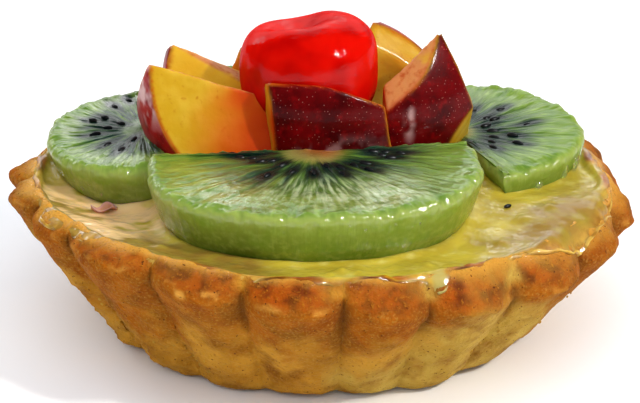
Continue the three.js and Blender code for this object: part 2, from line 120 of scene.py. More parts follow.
# Each wedge: the middle and radius of the fruit that its skin belongs to, its knife cuts as a point
# and the way the cut faces, the hollow of the stone as middle and radius, the drawn-out tip, where the
# flesh blushes and where the skin has bloom and a painted highlight (place, reach, amount), the cut that
# lay at the stone, and how light its red, how much lighter its flesh is painted where it lies in shade
# and how stringy its hollow is, from 0 to 1.
NECTARINES = {
    "nectarine_left": {
        "heart": (-5.7, 7.4, 38.3),
        "radius": 23.9,
        "tip": {"toward": (-1, -0.24, -0.38), "rise": 1.3, "spread": 0.72},
        "cuts": [
            ((-23.8, -8.3, 30.9), (0.136, -0.901, 0.411)),
            ((-27.7, -3, 43.8), (0.27, 0.48, 0.85)),
            ((-27.7, -3, 43.8), (-0.8, 0.42, 0.43)),
            ((-20, 6, 31.5), (0.15, 0.98, 0.1)),
            ((-5.2, -4, 34.5), (0.95, -0.25, 0.1)),
        ],
        "stone": ((-12.5, 0.5, 49), 9.4),
        "blush": ((-6, -8, 33), 12.5, 1.25),
        "bloom_and_highlight": ((-30, -5, 41), 7.5, 1.45),
        "stone_cut": 1,
        "light": 1.0,
    },
    "nectarine_front": {
        "heart": (0.5, 10.5, 34.5),
        "radius": 20.4,
        "cuts": [
            ((-7.2, -9.2, 31.5), (-0.965, -0.25, -0.065)),
            ((0.65, -8.7, 41.9), (0.06, 0.42, 0.9)),
            ((0.65, -8.7, 41.9), (0.3, 0.45, 0.84)),
            ((9.8, -7, 37.5), (0.98, 0.05, 0.17)),
            ((0, -0.5, 31.5), (0, 0.95, 0.3)),
        ],
        "blush": ((0, -9, 37), 16, 0.9),
        "bloom_and_highlight": ((2, -9.5, 31.5), (10, 6, 2.6), 0.5),
    },
    "nectarine_right": {
        "heart": (9, 14, 33.5),
        "radius": 20.5,
        "cuts": [
            ((18.9, 2, 47.3), (-0.451, -0.5, 0.739)),
            ((18.9, 2, 47.3), (-0.6, 0.75, 0.33)),
            ((18.9, 2, 47.3), (0.86, 0.35, 0.34)),
            ((20.8, -3, 30.5), (0.84, -0.35, -0.41)),
            ((10.2, -5, 33.5), (-1, -0.1, 0)),
        ],
        "blush": ((9, -5, 33), 11, 1.2),
        "bloom_and_highlight": ((13.9, -5.9, 35), (1.0, 3, 4.2), 0.85),
        "stone_cut": 0,
    },
    "nectarine_back_right": {
        "heart": (2, 8, 26.5),
        "radius": 20.6,
        "cuts": [
            ((8.3, 10, 46.1), (0.4, -0.7, 0.59)),
            ((8.3, 10, 46.1), (-0.9, 0.3, 0.3)),
        ],
        "stone": ((11, 1.5, 38.5), 6.3),
        "blush": ((11, 7, 41), 11, 0.33),
        "stringy": 0.4,
        "light": 0.8,
    },
    "nectarine_back_left": {
        "heart": (-6.5, 12, 34.5),
        "radius": 19.9,
        "cuts": [
            ((-24.6, 9, 42.6), (0.05, -0.87, 0.49)),
            ((-24.6, 9, 42.6), (0.4, -0.19, 0.9)),
            ((-15, 10, 38.5), (0.29, 0.53, 0.8)),
            ((-12, 12, 31.5), (0.8, 0.6, 0)),
        ],
        "blush": ((-12, 4, 38), 5, 0.6),
        "stone_cut": 1,
        "light": 0.8,
        # how much lighter its flesh is painted, as it lies in shade
        "lit_flesh": 0.45,
    },
    "nectarine_back": {
        "heart": (-3, 4, 26.5),
        "radius": 19.9,
        "cuts": [
            ((-13.6, 14, 40.1), (-0.93, 0.25, 0.25)),
            ((-13.6, 13.5, 40.1), (0.1, -0.8, 0.6)),
            ((2, 18, 35.5), (0.9, 0.1, 0.3)),
        ],
        "blush": ((-10, 8, 38), 8, 1.0),
    },
}

CHERRY = {
    "middle": (-2.1, 3.9, 40.4), "radius": 11.1, "half_height": 8.2, "squareness": 3.1, "lobe_rise": 1.5,
    "lobe_drop": 0.5,
}
# Where the cherry's stalk was: place seen from above, depth, and reach sideways, forwards and back.
DIMPLE = {"at": (-2.4, 0.6), "depth": 2.4, "width": 4.2, "front": 2.6, "back": 8.4}

# ---------------------------------------------------------------- unevenness that food has

LATTICE = 48
LATTICE_VALUES = np.random.default_rng(5).uniform(-1, 1, (LATTICE, LATTICE, LATTICE))


def lumps(points, size, shift):
    """Smooth lumps and hollows from -1 to 1, about `size` across, at points in millimetres."""
    place = np.asarray(points) / size + shift
    cell = np.floor(place).astype(int)
    part = place - cell
    part = part * part * (3 - 2 * part)
    total = 0.0
    for dx in (0, 1):
        for dy in (0, 1):
            for dz in (0, 1):
                corner = (cell + (dx, dy, dz)) % LATTICE
                weight = np.abs(1 - np.array((dx, dy, dz)) - part).prod(axis=-1)
                total = total + weight * LATTICE_VALUES[corner[..., 0], corner[..., 1], corner[..., 2]]
    return total


def rough(points, size, shift):
    """Three sets of lumps, each set half as wide and half as high as the one before."""
    return sum(lumps(points, size / 2**k, shift + 3.7 * k) / 2**k for k in range(3))


def pits(points, spacing, share, shift=0):
    """From 0 to 1, how deep a point lies in round pits about `spacing` apart, with radii up to `share`."""
    place = np.asarray(points) / spacing
    cell = np.floor(place).astype(int)
    deepest = np.zeros(place.shape[:-1])
    for dx in (-1, 0, 1):
        for dy in (-1, 0, 1):
            for dz in (-1, 0, 1):
                near = cell + (dx, dy, dz)
                drawn = (near + shift) % LATTICE
                picks = [LATTICE_VALUES[drawn[..., i], drawn[..., (i + 1) % 3], drawn[..., (i + 2) % 3]]
                         for i in range(3)]
                middle = near + 0.5 + 0.5 * np.stack(picks, axis=-1)
                radius = share * (0.4 + 0.6 * np.abs(picks[0]))
                away = np.linalg.norm(place - middle, axis=-1) / radius
                deepest = np.maximum(deepest, np.clip(1 - away**2, 0, 1))
    return deepest


def bell(value, middle, spread):
    """1 at the middle, falling off over the spread on both sides."""
    return np.exp(-(((value - middle) / spread) ** 2))


def smooth(low, high, value):
    """From 0 at `low` to 1 at `high`, easing in and out."""
    part = np.clip((value - low) / (high - low), 0, 1)
    return part * part * (3 - 2 * part)


# ---------------------------------------------------------------- meshes

def stack(rings):
    """Points and faces of a closed skin over a stack of rings of points, with a point at each end."""
    count, steps, _ = rings.shape
    ends = [rings[0].mean(axis=0), rings[-1].mean(axis=0)]
    points = np.concatenate([rings.reshape(-1, 3), ends])
    here = np.arange(steps)
    after = (here + 1) % steps
    faces = []
    for row in range(count - 1):
        low, high = row * steps, (row + 1) * steps
        faces += np.stack([low + here, low + after, high + after, high + here], axis=-1).tolist()
    first, last = count * steps, count * steps + 1
    faces += [(first, int(b), int(a)) for a, b in zip(here, after)]
    top = (count - 1) * steps
    faces += [(last, int(top + a), int(top + b)) for a, b in zip(here, after)]
    return points, faces


def with_ends(mark):
    """A mark on each point of a stack, carried on to its two end points."""
    return np.concatenate([mark.ravel(), [mark[0].mean(), mark[-1].mean()]])


def outward(rings):
    """The way out of a stack of rings at each of its points."""
    along = np.gradient(rings, axis=0)
    around = np.roll(rings, -1, axis=1) - np.roll(rings, 1, axis=1)
    ways = np.cross(around, along)
    return ways / np.maximum(np.linalg.norm(ways, axis=-1, keepdims=True), 1e-9)


def ball(subdivisions):
    """Directions and faces of a ball of even triangles."""
    mesh = bmesh.new()
    bmesh.ops.create_icosphere(mesh, subdivisions=subdivisions, radius=1)
    directions = np.array([tuple(v.co) for v in mesh.verts])
    faces = [[v.index for v in face.verts] for face in mesh.faces]
    mesh.free()
    return directions / np.linalg.norm(directions, axis=-1, keepdims=True), faces


def joined(bodies, faces):
    """Bodies that all have the same faces, as one set of points and faces."""
    size = len(bodies[0])
    return np.concatenate(bodies), [[number * size + corner for corner in face]
                                    for number in range(len(bodies)) for face in faces]


def make_piece(name, points, faces, finish, slot, marks=None):
    """A piece of the tart, from points in millimetres and values of each mark at those points."""
    mesh = bpy.data.meshes.new(name)
    mesh.from_pydata((np.asarray(points) * MM).tolist(), [], faces)
    for mark, values in (marks or {}).items():
        layer = mesh.attributes.new(mark, "FLOAT", "POINT")
        layer.data.foreach_set("value", np.asarray(values, dtype=np.float32))
    mesh.shade_smooth()
    mesh.materials.append(finish)
    piece = bpy.data.objects.new(name, mesh)
    bpy.context.scene.collection.objects.link(piece)
    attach(piece, "root")
    return piece


def make_stacked(name, rings, finish, slot, marks):
    """A piece whose skin runs over a stack of rings, with its marks given on the rings."""
    points, faces = stack(rings)
    return make_piece(name, points, faces, finish, slot, {mark: with_ends(marks[mark]) for mark in marks})


# ---------------------------------------------------------------- finishes

# Sockets of a Mix node that blends colours, and the settings of that node and of a soft range.
FACTOR, UNDER, OVER, BLEND = 0, 6, 7, 2
COLOURS = {"data_type": "RGBA"}
SOFT = {"interpolation_type": "SMOOTHSTEP"}

RAY_SPREAD = 2.2  # radius of the circle on which a slice's rays are drawn, in the space of their noise
HALFWAY_OUT = 12.1  # how far from a slice's middle the width of its rays is measured


def srgb(colour):
    """The linear light of a colour written as #rrggbb."""
    channels = [int(colour[i:i + 2], 16) / 255 for i in (1, 3, 5)]
    linear = [c / 12.92 if c <= 0.04045 else ((c + 0.055) / 1.055) ** 2.4 for c in channels]
    return (*linear, 1.0)


def add(tree, kind, settings=None, inputs=None):
    """A node with its settings and its inputs.

    An input is a value, a colour as #rrggbb, another node's output, or the name of a mark on the mesh.
    """
    made = tree.nodes.new("ShaderNode" + kind)
    for key, value in (settings or {}).items():
        setattr(made, key, value)
    for key, value in (inputs or {}).items():
        if isinstance(value, str) and value.startswith("#"):
            value = srgb(value)
        elif isinstance(value, str):
            value = add(tree, "Attribute", {"attribute_name": value}).outputs["Fac"]
        if isinstance(value, bpy.types.NodeSocket):
            tree.links.new(value, made.inputs[key])
        else:
            made.inputs[key].default_value = value
    return made


def per_metre(size):
    """The scale of a pattern whose lumps are `size` millimetres across."""
    return 1 / (size * MM)


def ray_scale(width):
    """The scale of rays that are `width` millimetres wide halfway out from a slice's middle."""
    return HALFWAY_OUT / (RAY_SPREAD * width)


def new_finish(name):
    """A material without nodes yet, its node tree, and where each point of the tart lies."""
    finish = bpy.data.materials.new(name)
    finish.use_nodes = True
    tree = finish.node_tree
    tree.nodes.clear()
    return finish, tree, add(tree, "TexCoord").outputs["Object"]


def marked(tree, under, over, mark, low=0.0, high=1.0):
    """One colour over another, coming in softly where a mark or a pattern rises from `low` to `high`."""
    amount = add(tree, "MapRange", SOFT, {"Value": mark, "From Min": low, "From Max": high})
    return add(tree, "Mix", COLOURS, {FACTOR: amount.outputs[0], UNDER: under, OVER: over}).outputs[BLEND]


def mottle(tree, under, over, place, size, low, high, detail=2.0):
    """Patches of one colour over another, `size` millimetres across."""
    noise = add(tree, "TexNoise", None, {"Vector": place, "Scale": per_metre(size), "Detail": detail})
    return marked(tree, under, over, noise.outputs["Fac"], low, high)


def noise_relief(tree, place, size, detail, strength, depth, under=None):
    """How a surface faces with lumps on it that are `size` millimetres across and `depth` high."""
    noise = add(tree, "TexNoise", None, {"Vector": place, "Scale": per_metre(size), "Detail": detail})
    inputs = {"Strength": strength, "Distance": depth * MM, "Height": noise.outputs["Fac"]}
    if under is not None:
        inputs["Normal"] = under
    return add(tree, "Bump", None, inputs).outputs[0]


def surface(tree, inputs):
    """Ends a finish: its shader with those inputs, led to the material's output."""
    shader = add(tree, "BsdfPrincipled", None, inputs)
    add(tree, "OutputMaterial", None, {"Surface": shader.outputs[0]})


def shortcrust():
    """Baked shortcrust pastry: matt and sandy, gold at the foot, browned towards the rim, glazed on top, with
    painted shade in the creases between the flutes and a painted highlight on part of the lip.

    Flour grit is finer than can be seen, so the grain is drawn 0.4 to 0.8 mm wide.
    """
    finish, tree, place = new_finish("baked_shortcrust")
    low = mottle(tree, "#c48c2c", "#a6701c", place, 6, 0.35, 0.7, 4)
    gold = mottle(tree, "#c6a44a", "#b28e36", place, 5, 0.35, 0.7, 4)
    low = marked(tree, low, gold, "golden")
    high = mottle(tree, "#a55c0a", "#8a4604", place, 4, 0.35, 0.68, 4)
    wall = marked(tree, low, high, "upper")
    wall = mottle(tree, wall, "#83500f", place, 4.5, 0.42, 0.78, 5)
    wall = mottle(tree, wall, "#b88e3e", place, 0.4, 0.45, 0.95, 3)
    wall = mottle(tree, wall, "#7e4a0c", place, 0.8, 0.56, 0.95, 4)
    # Painted shade: the walls darken in the creases between the flutes.
    wall = marked(tree, wall, "#5f340c", "shaded_fold", 0.5, 1.2)
    brown = mottle(tree, "#a04a04", "#642803", place, 2.4, 0.39, 0.67, 5)
    brown = mottle(tree, brown, "#b86f16", place, 0.6, 0.52, 0.82, 3)
    colour = add(tree, "Mix", COLOURS, {FACTOR: "browned", UNDER: wall, OVER: brown}).outputs[BLEND]
    colour = marked(tree, colour, "#cf9638", "soaked", 0.0, 0.95)
    # Paler golden along the lip of the rim: partly its baked colour, partly a painted highlight.
    colour = marked(tree, colour, "#dea244", "lip", 0.2, 1.7)
    colour = mottle(tree, colour, "#57290a", place, 0.5, 0.66, 0.8, 1)
    grain = noise_relief(tree, place, 0.6, 5.0, 1.0, 0.7)
    surface(tree, {
        "Base Color": colour, "Roughness": 0.7, "IOR": 1.45, "Specular IOR Level": 0.06, "Normal": grain,
        "Subsurface Weight": 0.15, "Subsurface Radius": (1.0, 0.5, 0.2), "Subsurface Scale": 1 * MM,
        "Coat Weight": "glazed", "Coat Roughness": 0.15, "Coat IOR": 1.45, "Coat Normal": grain,
    })
    return finish


def set_custard():
    """Set custard under clear glaze: yellow that light sinks into, with a wet coat in 3 mm ripples and a
    painted pale sheen on its left side.
    """
    finish, tree, place = new_finish("set_custard")
    colour = mottle(tree, "#c4b03a", "#ae9a2a", place, 7, 0.35, 0.7, 2)
    colour = mottle(tree, colour, "#d6ca70", place, 2.6, 0.5, 0.85, 2)
    tan = mottle(tree, "#8e702a", "#94802c", place, 3, 0.4, 0.65, 3)
    colour = marked(tree, colour, tan, "thin", 0.1, 0.9)
    # Painted sheen: pale streaks on the left side stand in for the glaze reflecting the light.
    colour = marked(tree, colour, "#ecc48c", "painted_sheen", 0.1, 1.0)
    amber = mottle(tree, "#cc9e44", "#9c6c1c", place, 2.0, 0.4, 0.66, 4)
    colour = marked(tree, colour, amber, "edge", 0.0, 0.55)
    baked = mottle(tree, "#a25a0c", "#763604", place, 2.4, 0.38, 0.66, 4)
    colour = marked(tree, colour, baked, "baked", 0.0, 0.8)
    colour = marked(tree, colour, "#b0a058", "cream", 0.1, 1.0)
    ripple = noise_relief(tree, place, 3.2, 2.0, 0.8, 0.9)
    surface(tree, {
        "Base Color": colour, "Roughness": 0.4, "IOR": 1.4, "Specular IOR Level": 0.2,
        "Subsurface Weight": 0.6, "Subsurface Radius": (1.0, 0.8, 0.3), "Subsurface Scale": 3 * MM,
        "Coat Weight": "wet", "Coat Roughness": 0.05, "Coat IOR": 1.45, "Coat Normal": ripple,
    })
    return finish


def kiwi_flesh():
    """Cut kiwi: dark translucent green with paler rays from the core outwards, wet and ridged on top, with a
    painted reflection on the front slice's top and painted light and shade on the sides.
    """
    finish, tree, place = new_finish("kiwi_flesh")
    ray = add(tree, "CombineXYZ", None, {"X": "ray_x", "Y": "ray_y", "Z": "ray_length"}).outputs[0]
    fine = add(tree, "TexNoise", None, {"Vector": ray, "Scale": ray_scale(0.5), "Detail": 3.0})
    broad = add(tree, "TexNoise", None, {"Vector": ray, "Scale": ray_scale(1.375), "Detail": 2.0})
    colour = marked(tree, "#45671a", "#6d8a32", "outer")
    colour = mottle(tree, colour, "#567a26", place, 4, 0.4, 0.7, 2)
    streak = add(tree, "MapRange", None, {"Value": fine.outputs["Fac"], "From Min": 0.5, "From Max": 0.85})
    streak = streak.outputs[0]
    colour = add(tree, "Mix", COLOURS, {FACTOR: streak, UNDER: colour, OVER: "#90ae4e"}).outputs[BLEND]
    gloom = add(tree, "MapRange", None, {"Value": broad.outputs["Fac"], "From Min": 0.36, "From Max": 0.58})
    locule = add(tree, "Math", {"operation": "MULTIPLY"}, {0: gloom.outputs[0], 1: "locule"}).outputs[0]
    deep = add(tree, "Mix", COLOURS, {FACTOR: streak, UNDER: "#0e3624", OVER: "#467444"}).outputs[BLEND]
    colour = add(tree, "Mix", COLOURS, {FACTOR: locule, UNDER: colour, OVER: deep}).outputs[BLEND]
    # Painted reflection: pale patches on the front slice's top stand in for its wet surface reflecting the
    # light.
    reflection_noise = add(tree, "TexNoise", None, {"Vector": ray, "Scale": ray_scale(0.495), "Detail": 4.0})
    with_reflection = marked(tree, colour, "#b0bf98", reflection_noise.outputs["Fac"], 0.38, 0.66)
    colour = marked(tree, colour, with_reflection, "painted_reflection", 0.1, 1.3)
    colour = marked(tree, colour, "#08221a", "seed_shade", 0.0, 0.8)
    colour = marked(tree, colour, "#918a48", "core", 0.2, 1.1)
    colour = marked(tree, colour, "#a84c16", "juice", 0.15, 1.3)
    # Painted light and shade: each slice's side is greener and brighter to the right, towards the lamp, and
    # duller to the left.
    lit_right_side = marked(tree, "#7f9538", "#527a0e", "depth", 0.1, 1.0)
    shaded_left_side = marked(tree, "#7b8c2e", "#4f6a12", "depth", 0.1, 0.9)
    side = marked(tree, lit_right_side, shaded_left_side, "shaded_left_side")
    side = mottle(tree, side, "#6f8c24", place, 5, 0.4, 0.7, 3)
    side = mottle(tree, side, "#8a9e44", place, 1.1, 0.4, 0.9, 4)
    side = marked(tree, side, "#8f9e4c", "rim", 0.0, 1.1)
    colour = add(tree, "Mix", COLOURS, {FACTOR: "side", UNDER: colour, OVER: side}).outputs[BLEND]
    ridges = add(tree, "Bump", None, {"Strength": 0.6, "Distance": 0.3 * MM, "Height": fine.outputs["Fac"]})
    ridges = ridges.outputs[0]
    ripple = noise_relief(tree, place, 1.6, 3.0, 0.8, 0.4, ridges)
    surface(tree, {
        "Base Color": colour, "Roughness": 0.35, "IOR": 1.38, "Specular IOR Level": 0.2, "Normal": ridges,
        "Subsurface Weight": 0.4, "Subsurface Radius": (0.7, 1.0, 0.4), "Subsurface Scale": 2 * MM,
        "Coat Weight": "wet", "Coat Roughness": 0.08, "Coat IOR": 1.6, "Coat Normal": ripple,
    })
    return finish


def kiwi_seed():
    """Kiwi seed coat: almost black, with a blue-brown cast, smooth and wet."""
    finish, tree, place = new_finish("kiwi_seed")
    surface(tree, {
        "Base Color": mottle(tree, "#0a0f12", "#18181a", place, 0.8, 0.4, 0.7), "Roughness": 0.4, "IOR": 1.4,
        "Specular IOR Level": 0.2, "Coat Weight": 0.06, "Coat Roughness": 0.15,
    })
    return finish


def nectarine():
    """Nectarine: crimson skin with fine pale specks, bloom and painted highlights, yellow flesh that reddens
    inwards.

    The specks are drawn 0.6 mm apart and wider than on a real skin, where they wouldn't show.
    """
    finish, tree, place = new_finish("nectarine")
    flesh = mottle(tree, "#bd9418", "#caa630", place, 4, 0.35, 0.7, 2)
    flesh = mottle(tree, flesh, "#b07c14", place, 0.9, 0.62, 0.82, 1)
    # Painted light: flesh made brighter yellow on a wedge that lies in shade at the back.
    flesh = marked(tree, flesh, "#dcae2c", "lit_flesh")
    flesh = marked(tree, flesh, "#bd4a06", "blush", 0.15, 0.7)
    flesh = marked(tree, flesh, "#a41804", "blush", 0.45, 1.0)
    stringy = mottle(tree, "#bf7c48", "#a84e20", place, 1.1, 0.45, 0.8, 3)
    flesh = marked(tree, flesh, stringy, "pith", 0.2, 1.0)
    flesh = marked(tree, flesh, "#a82208", "rind", 0.1, 1.1)
    skin = mottle(tree, "#5e0104", "#3a0002", place, 5, 0.35, 0.7, 3)
    skin = mottle(tree, skin, "#7c0408", place, 1.4, 0.5, 0.85, 3)
    crimson = mottle(tree, "#9e1614", "#7a0a0a", place, 3, 0.4, 0.7, 2)
    skin = marked(tree, skin, crimson, "light")
    speck = add(tree, "TexVoronoi", None, {"Vector": place, "Scale": per_metre(0.6), "Randomness": 1.0})
    dot = add(tree, "MapRange", SOFT, {
        "Value": speck.outputs["Distance"], "From Min": 0.06, "From Max": 0.2, "To Min": 0.42, "To Max": 0.0})
    skin = add(tree, "Mix", COLOURS, {FACTOR: dot.outputs[0], UNDER: skin, OVER: "#c07a70"}).outputs[BLEND]
    # Pale pink on the skin: partly its bloom, mostly painted highlights and sheen where the light catches it.
    skin = marked(tree, skin, "#d0a8a8", "bloom_and_highlight", 0.1, 1.25)
    colour = add(tree, "Mix", COLOURS, {FACTOR: "skin", UNDER: flesh, OVER: skin}).outputs[BLEND]
    grain = noise_relief(tree, place, 0.7, 2.0, 0.25, 0.2)
    surface(tree, {
        "Base Color": colour, "Roughness": 0.4, "IOR": 1.4, "Specular IOR Level": 0.05, "Normal": grain,
        "Subsurface Weight": 0.25, "Subsurface Radius": (1.0, 0.45, 0.12), "Subsurface Scale": 1.5 * MM,
        "Coat Weight": 0.15, "Coat Roughness": 0.1, "Coat IOR": 1.45,
    })
    return finish


def candied_cherry():
    """Candied cherry: dyed bright red and soaked in syrup, so it glows and shines like glass."""
    finish, tree, place = new_finish("candied_cherry")
    colour = mottle(tree, "#c60c04", "#a00302", place, 6, 0.35, 0.7, 2)
    # Darker in a small patch at the front edge of the stalk's dimple.
    colour = marked(tree, colour, "#3c0202", "dimple_dark", 0.1, 1.0)
    dimples = noise_relief(tree, place, 0.9, 2.0, 0.7, 0.16)
    surface(tree, {
        "Base Color": colour, "Roughness": 0.25, "IOR": 1.46, "Specular IOR Level": 0.0,
        "Subsurface Weight": 0.8, "Subsurface Radius": (1.0, 0.08, 0.04), "Subsurface Scale": 5 * MM,
        "Coat Weight": 0.13, "Coat Roughness": 0.04, "Coat IOR": 1.9, "Coat Normal": dimples,
    })
    return finish


def clear_glaze():
    """Sugar glaze, set: faintly straw-coloured, smooth, nearly clear."""
    finish, tree, _ = new_finish("clear_glaze")
    surface(tree, {
        "Base Color": "#dfe8b8", "Roughness": 0.05, "IOR": 1.35, "Transmission Weight": 0.85,
        "Coat Weight": 1.0, "Coat Roughness": 0.03, "Coat IOR": 1.5,
    })
    return finish


# ---------------------------------------------------------------- pastry shell

def flute_count(angle):
    """How many flutes lie between the first crease and that angle."""
    edges = np.append(CREASES, CREASES[0] + TURN)
    turned = np.where(angle < CREASES[0], angle + TURN, angle)
    return np.interp(turned, edges, np.arange(len(edges)))


def flute(angle):
    """0 in the crease between two flutes, 1 at the tip of one."""
    return np.abs(np.sin(math.pi * flute_count(angle))) ** FLUTE_ROUNDNESS


def bump(angle, shape):
    """A swelling round the tart: angle, spread, height."""
    return bell(angle, shape[0], shape[1]) * shape[2]


def rim_offset(angle):
    """How far the rim lies above or below its usual height."""
    return -RIM_TILT * np.sin(angle) - RIM_WAVE * np.sin(2 * angle) - bump(angle, RIM_DIP)


def lip_height(angle):
    """Height of the outer edge of the rim."""
    return LIP_HEIGHT + rim_offset(angle)


def crest_height(angle):
    """Height of the top of the rim."""
    return CREST_HEIGHT + 0.3 * rim_offset(angle)


def rim_radius(angle):
    """Radius of the rim at the tips of the flutes."""
    return RIM_RADIUS + sum(bump(angle, pull) for pull in RIM_PULLS)


def wall(angle):
    """Thickness of the wall at the tips of the flutes."""
    return WALL + WALL_SHIFT * np.sin(angle)


def dent(angle, height):
    """How far the wall bulges where it was pressed by hand."""
    return 0.16 * np.sin(7 * angle + 0.9 * height) + 0.12 * np.sin(13 * angle - 0.55 * height + 1.3)


def outside_radius(angle, share):
    """Radius of the outside of the wall at that share of its height."""
    tip = BASE_RADIUS + (rim_radius(angle) - BASE_RADIUS) * share
    depth = FOOT_FLUTE_DEPTH + (FLUTE_DEPTH - FOOT_FLUTE_DEPTH) * share
    return tip - depth * (1 - flute(angle)) + dent(angle, share * LIP_HEIGHT) * share


def inner_edge(angle):
    """Radius of the inner edge of the rim."""
    return np.minimum(outside_radius(angle, 1) - 2, rim_radius(angle) - wall(angle) + 0.3)


def inside_radius(angle, height):
    """Radius of the inside of the wall at that height."""
    low = np.minimum(height, WALL_TOP)
    tip = BASE_RADIUS + (rim_radius(angle) - BASE_RADIUS) * low / LIP_HEIGHT
    straight = tip - wall(angle) - bump(angle, RIM_SLOPE) * low / WALL_TOP
    up = np.clip((height - WALL_TOP) / (crest_height(angle) - EDGE_DROP - WALL_TOP), 0, 1)
    return straight + (inner_edge(angle) - straight) * up


def polar(angle, radius, height):
    """Points round the tart."""
    radius, height = np.broadcast_arrays(radius, height)
    return np.stack([radius * np.sin(angle), -radius * np.cos(angle), height + 0 * angle], axis=-1)


def rim_profile(angle):
    """Radius and height of the top of the wall, from the lip over the crest to the inner edge."""
    lip, inner = outside_radius(angle, 1), inner_edge(angle)
    low, high = lip_height(angle), crest_height(angle)
    return [
        (lip - 0.5, low + 0.5),
        (lip - 1.2 - 1.1 * flute(angle), 0.45 * low + 0.55 * high),
        (np.minimum(lip - 1.5, inner + 1), high),
        (inner, high - EDGE_DROP),
    ]


def between(knots, counts):
    """Rows between (radius, height) knots, with that many rows to each stretch."""
    rows = []
    for start, end, count in zip(knots, knots[1:], counts):
        for k in range(count):
            part = k / count
            rows.append(tuple(a + (b - a) * part for a, b in zip(start, end)))
    rows.append(knots[-1])
    return rows


def soften(rings, passes):
    """Rounds the corners from ring to ring."""
    for _ in range(passes):
        rings[1:-1] = 0.5 * rings[1:-1] + 0.25 * (rings[:-2] + rings[2:])
    return rings


CRUST_STEPS = 900
# How many rows of points each stretch of the shell's skin has, from the middle of its underside up the
# wall, over the rim and down to the floor inside, and the rows where some of the stretches start.
CRUST_ROWS = [4, 4, 20, 20, 13, 3, 5, 5, 4, 4, 4, 2]
FOOT_ROW, LOW_ROW, BROW_ROW, LIP_ROW, BEVEL_ROW, CREST_ROW, INNER_ROW, FILLED_ROW, FLOOR_ROW = (
    np.cumsum([0] + CRUST_ROWS)[[1, 2, 5, 6, 7, 8, 9, 10, 11]])
EDGE_ROW = LIP_ROW - 0.5
# How much paler or darker each flute baked than the next, over and over round the tart.
FLUTE_TONES = [0.3, -0.6, -0.3, 0.3, -0.2, 0.6, -0.9, 0.2, 0.8, -0.3]


def baked_relief(points):
    """How far the baked dough swells or sinks along its surface."""
    swell = 0.36 * rough(points, 9, 0.3) + 0.14 * lumps(points, 2.6, 1.1) + 0.1 * lumps(points, 1.2, 2.2)
    return swell + 0.06 * lumps(points, 0.7, 5.1)


def torn_relief(points):
    """How unevenly the top of the rim broke and rose in the oven."""
    return 0.28 * lumps(points, 3.1, 7.7) + 0.17 * lumps(points, 1.4, 8.3)


def crust_rings(angle):
    """The raw shell, in rings from its underside up the wall, over the rim and down inside."""
    foot = [(0.5 * BASE_RADIUS, 0), (outside_radius(angle, 0) - FOOT_ROUND, 0)]
    walls = [(outside_radius(angle, share), share * lip_height(angle)) for share in (0.07, 0.4, 0.75, 0.97)]
    inside = [
        (inside_radius(angle, WALL_TOP), WALL_TOP),
        (inside_radius(angle, FLOOR + FLOOR_ROUND), FLOOR + FLOOR_ROUND),
        (BASE_RADIUS - WALL - FLOOR_ROUND, FLOOR),
    ]
    rows = between(foot + walls + rim_profile(angle) + inside, CRUST_ROWS)
    return soften(np.stack([polar(angle, radius, height) for radius, height in rows]), 3)


def crust_relief(rings, row, angle, share, on_wall, flank):
    """How far the shell swelled, sank, crumbled and tore as it baked."""
    on_rim = smooth(BROW_ROW - 2, LIP_ROW + 1, row) * (1 - smooth(INNER_ROW, FILLED_ROW, row))
    crumbly = bell(angle, TURN - 0.9, 0.6) * (1 - smooth(0.2, 0.9, share)) * on_wall
    shaded_fold = (1 - flute(angle)) * on_wall
    relief = baked_relief(rings) - 0.3 * pits(rings, 3.1, 0.22) - 0.18 * pits(rings, 1.7, 0.22, 9)
    relief += on_rim * torn_relief(rings) + 0.25 * on_wall * lumps(rings, 5, 2.4)
    relief += 0.3 * flank * bell(row, 0.5 * (EDGE_ROW + CREST_ROW), 8) * rough(rings, 1.6, 3.7)
    relief += (0.5 * crumbly + 0.35 * smooth(0.4, 1, shaded_fold)) * np.maximum(rough(rings, 1.7, 4.4), -0.4)
    strength = smooth(1, 6, row) * (1 - smooth(FILLED_ROW, FLOOR_ROW, row))
    return relief * strength


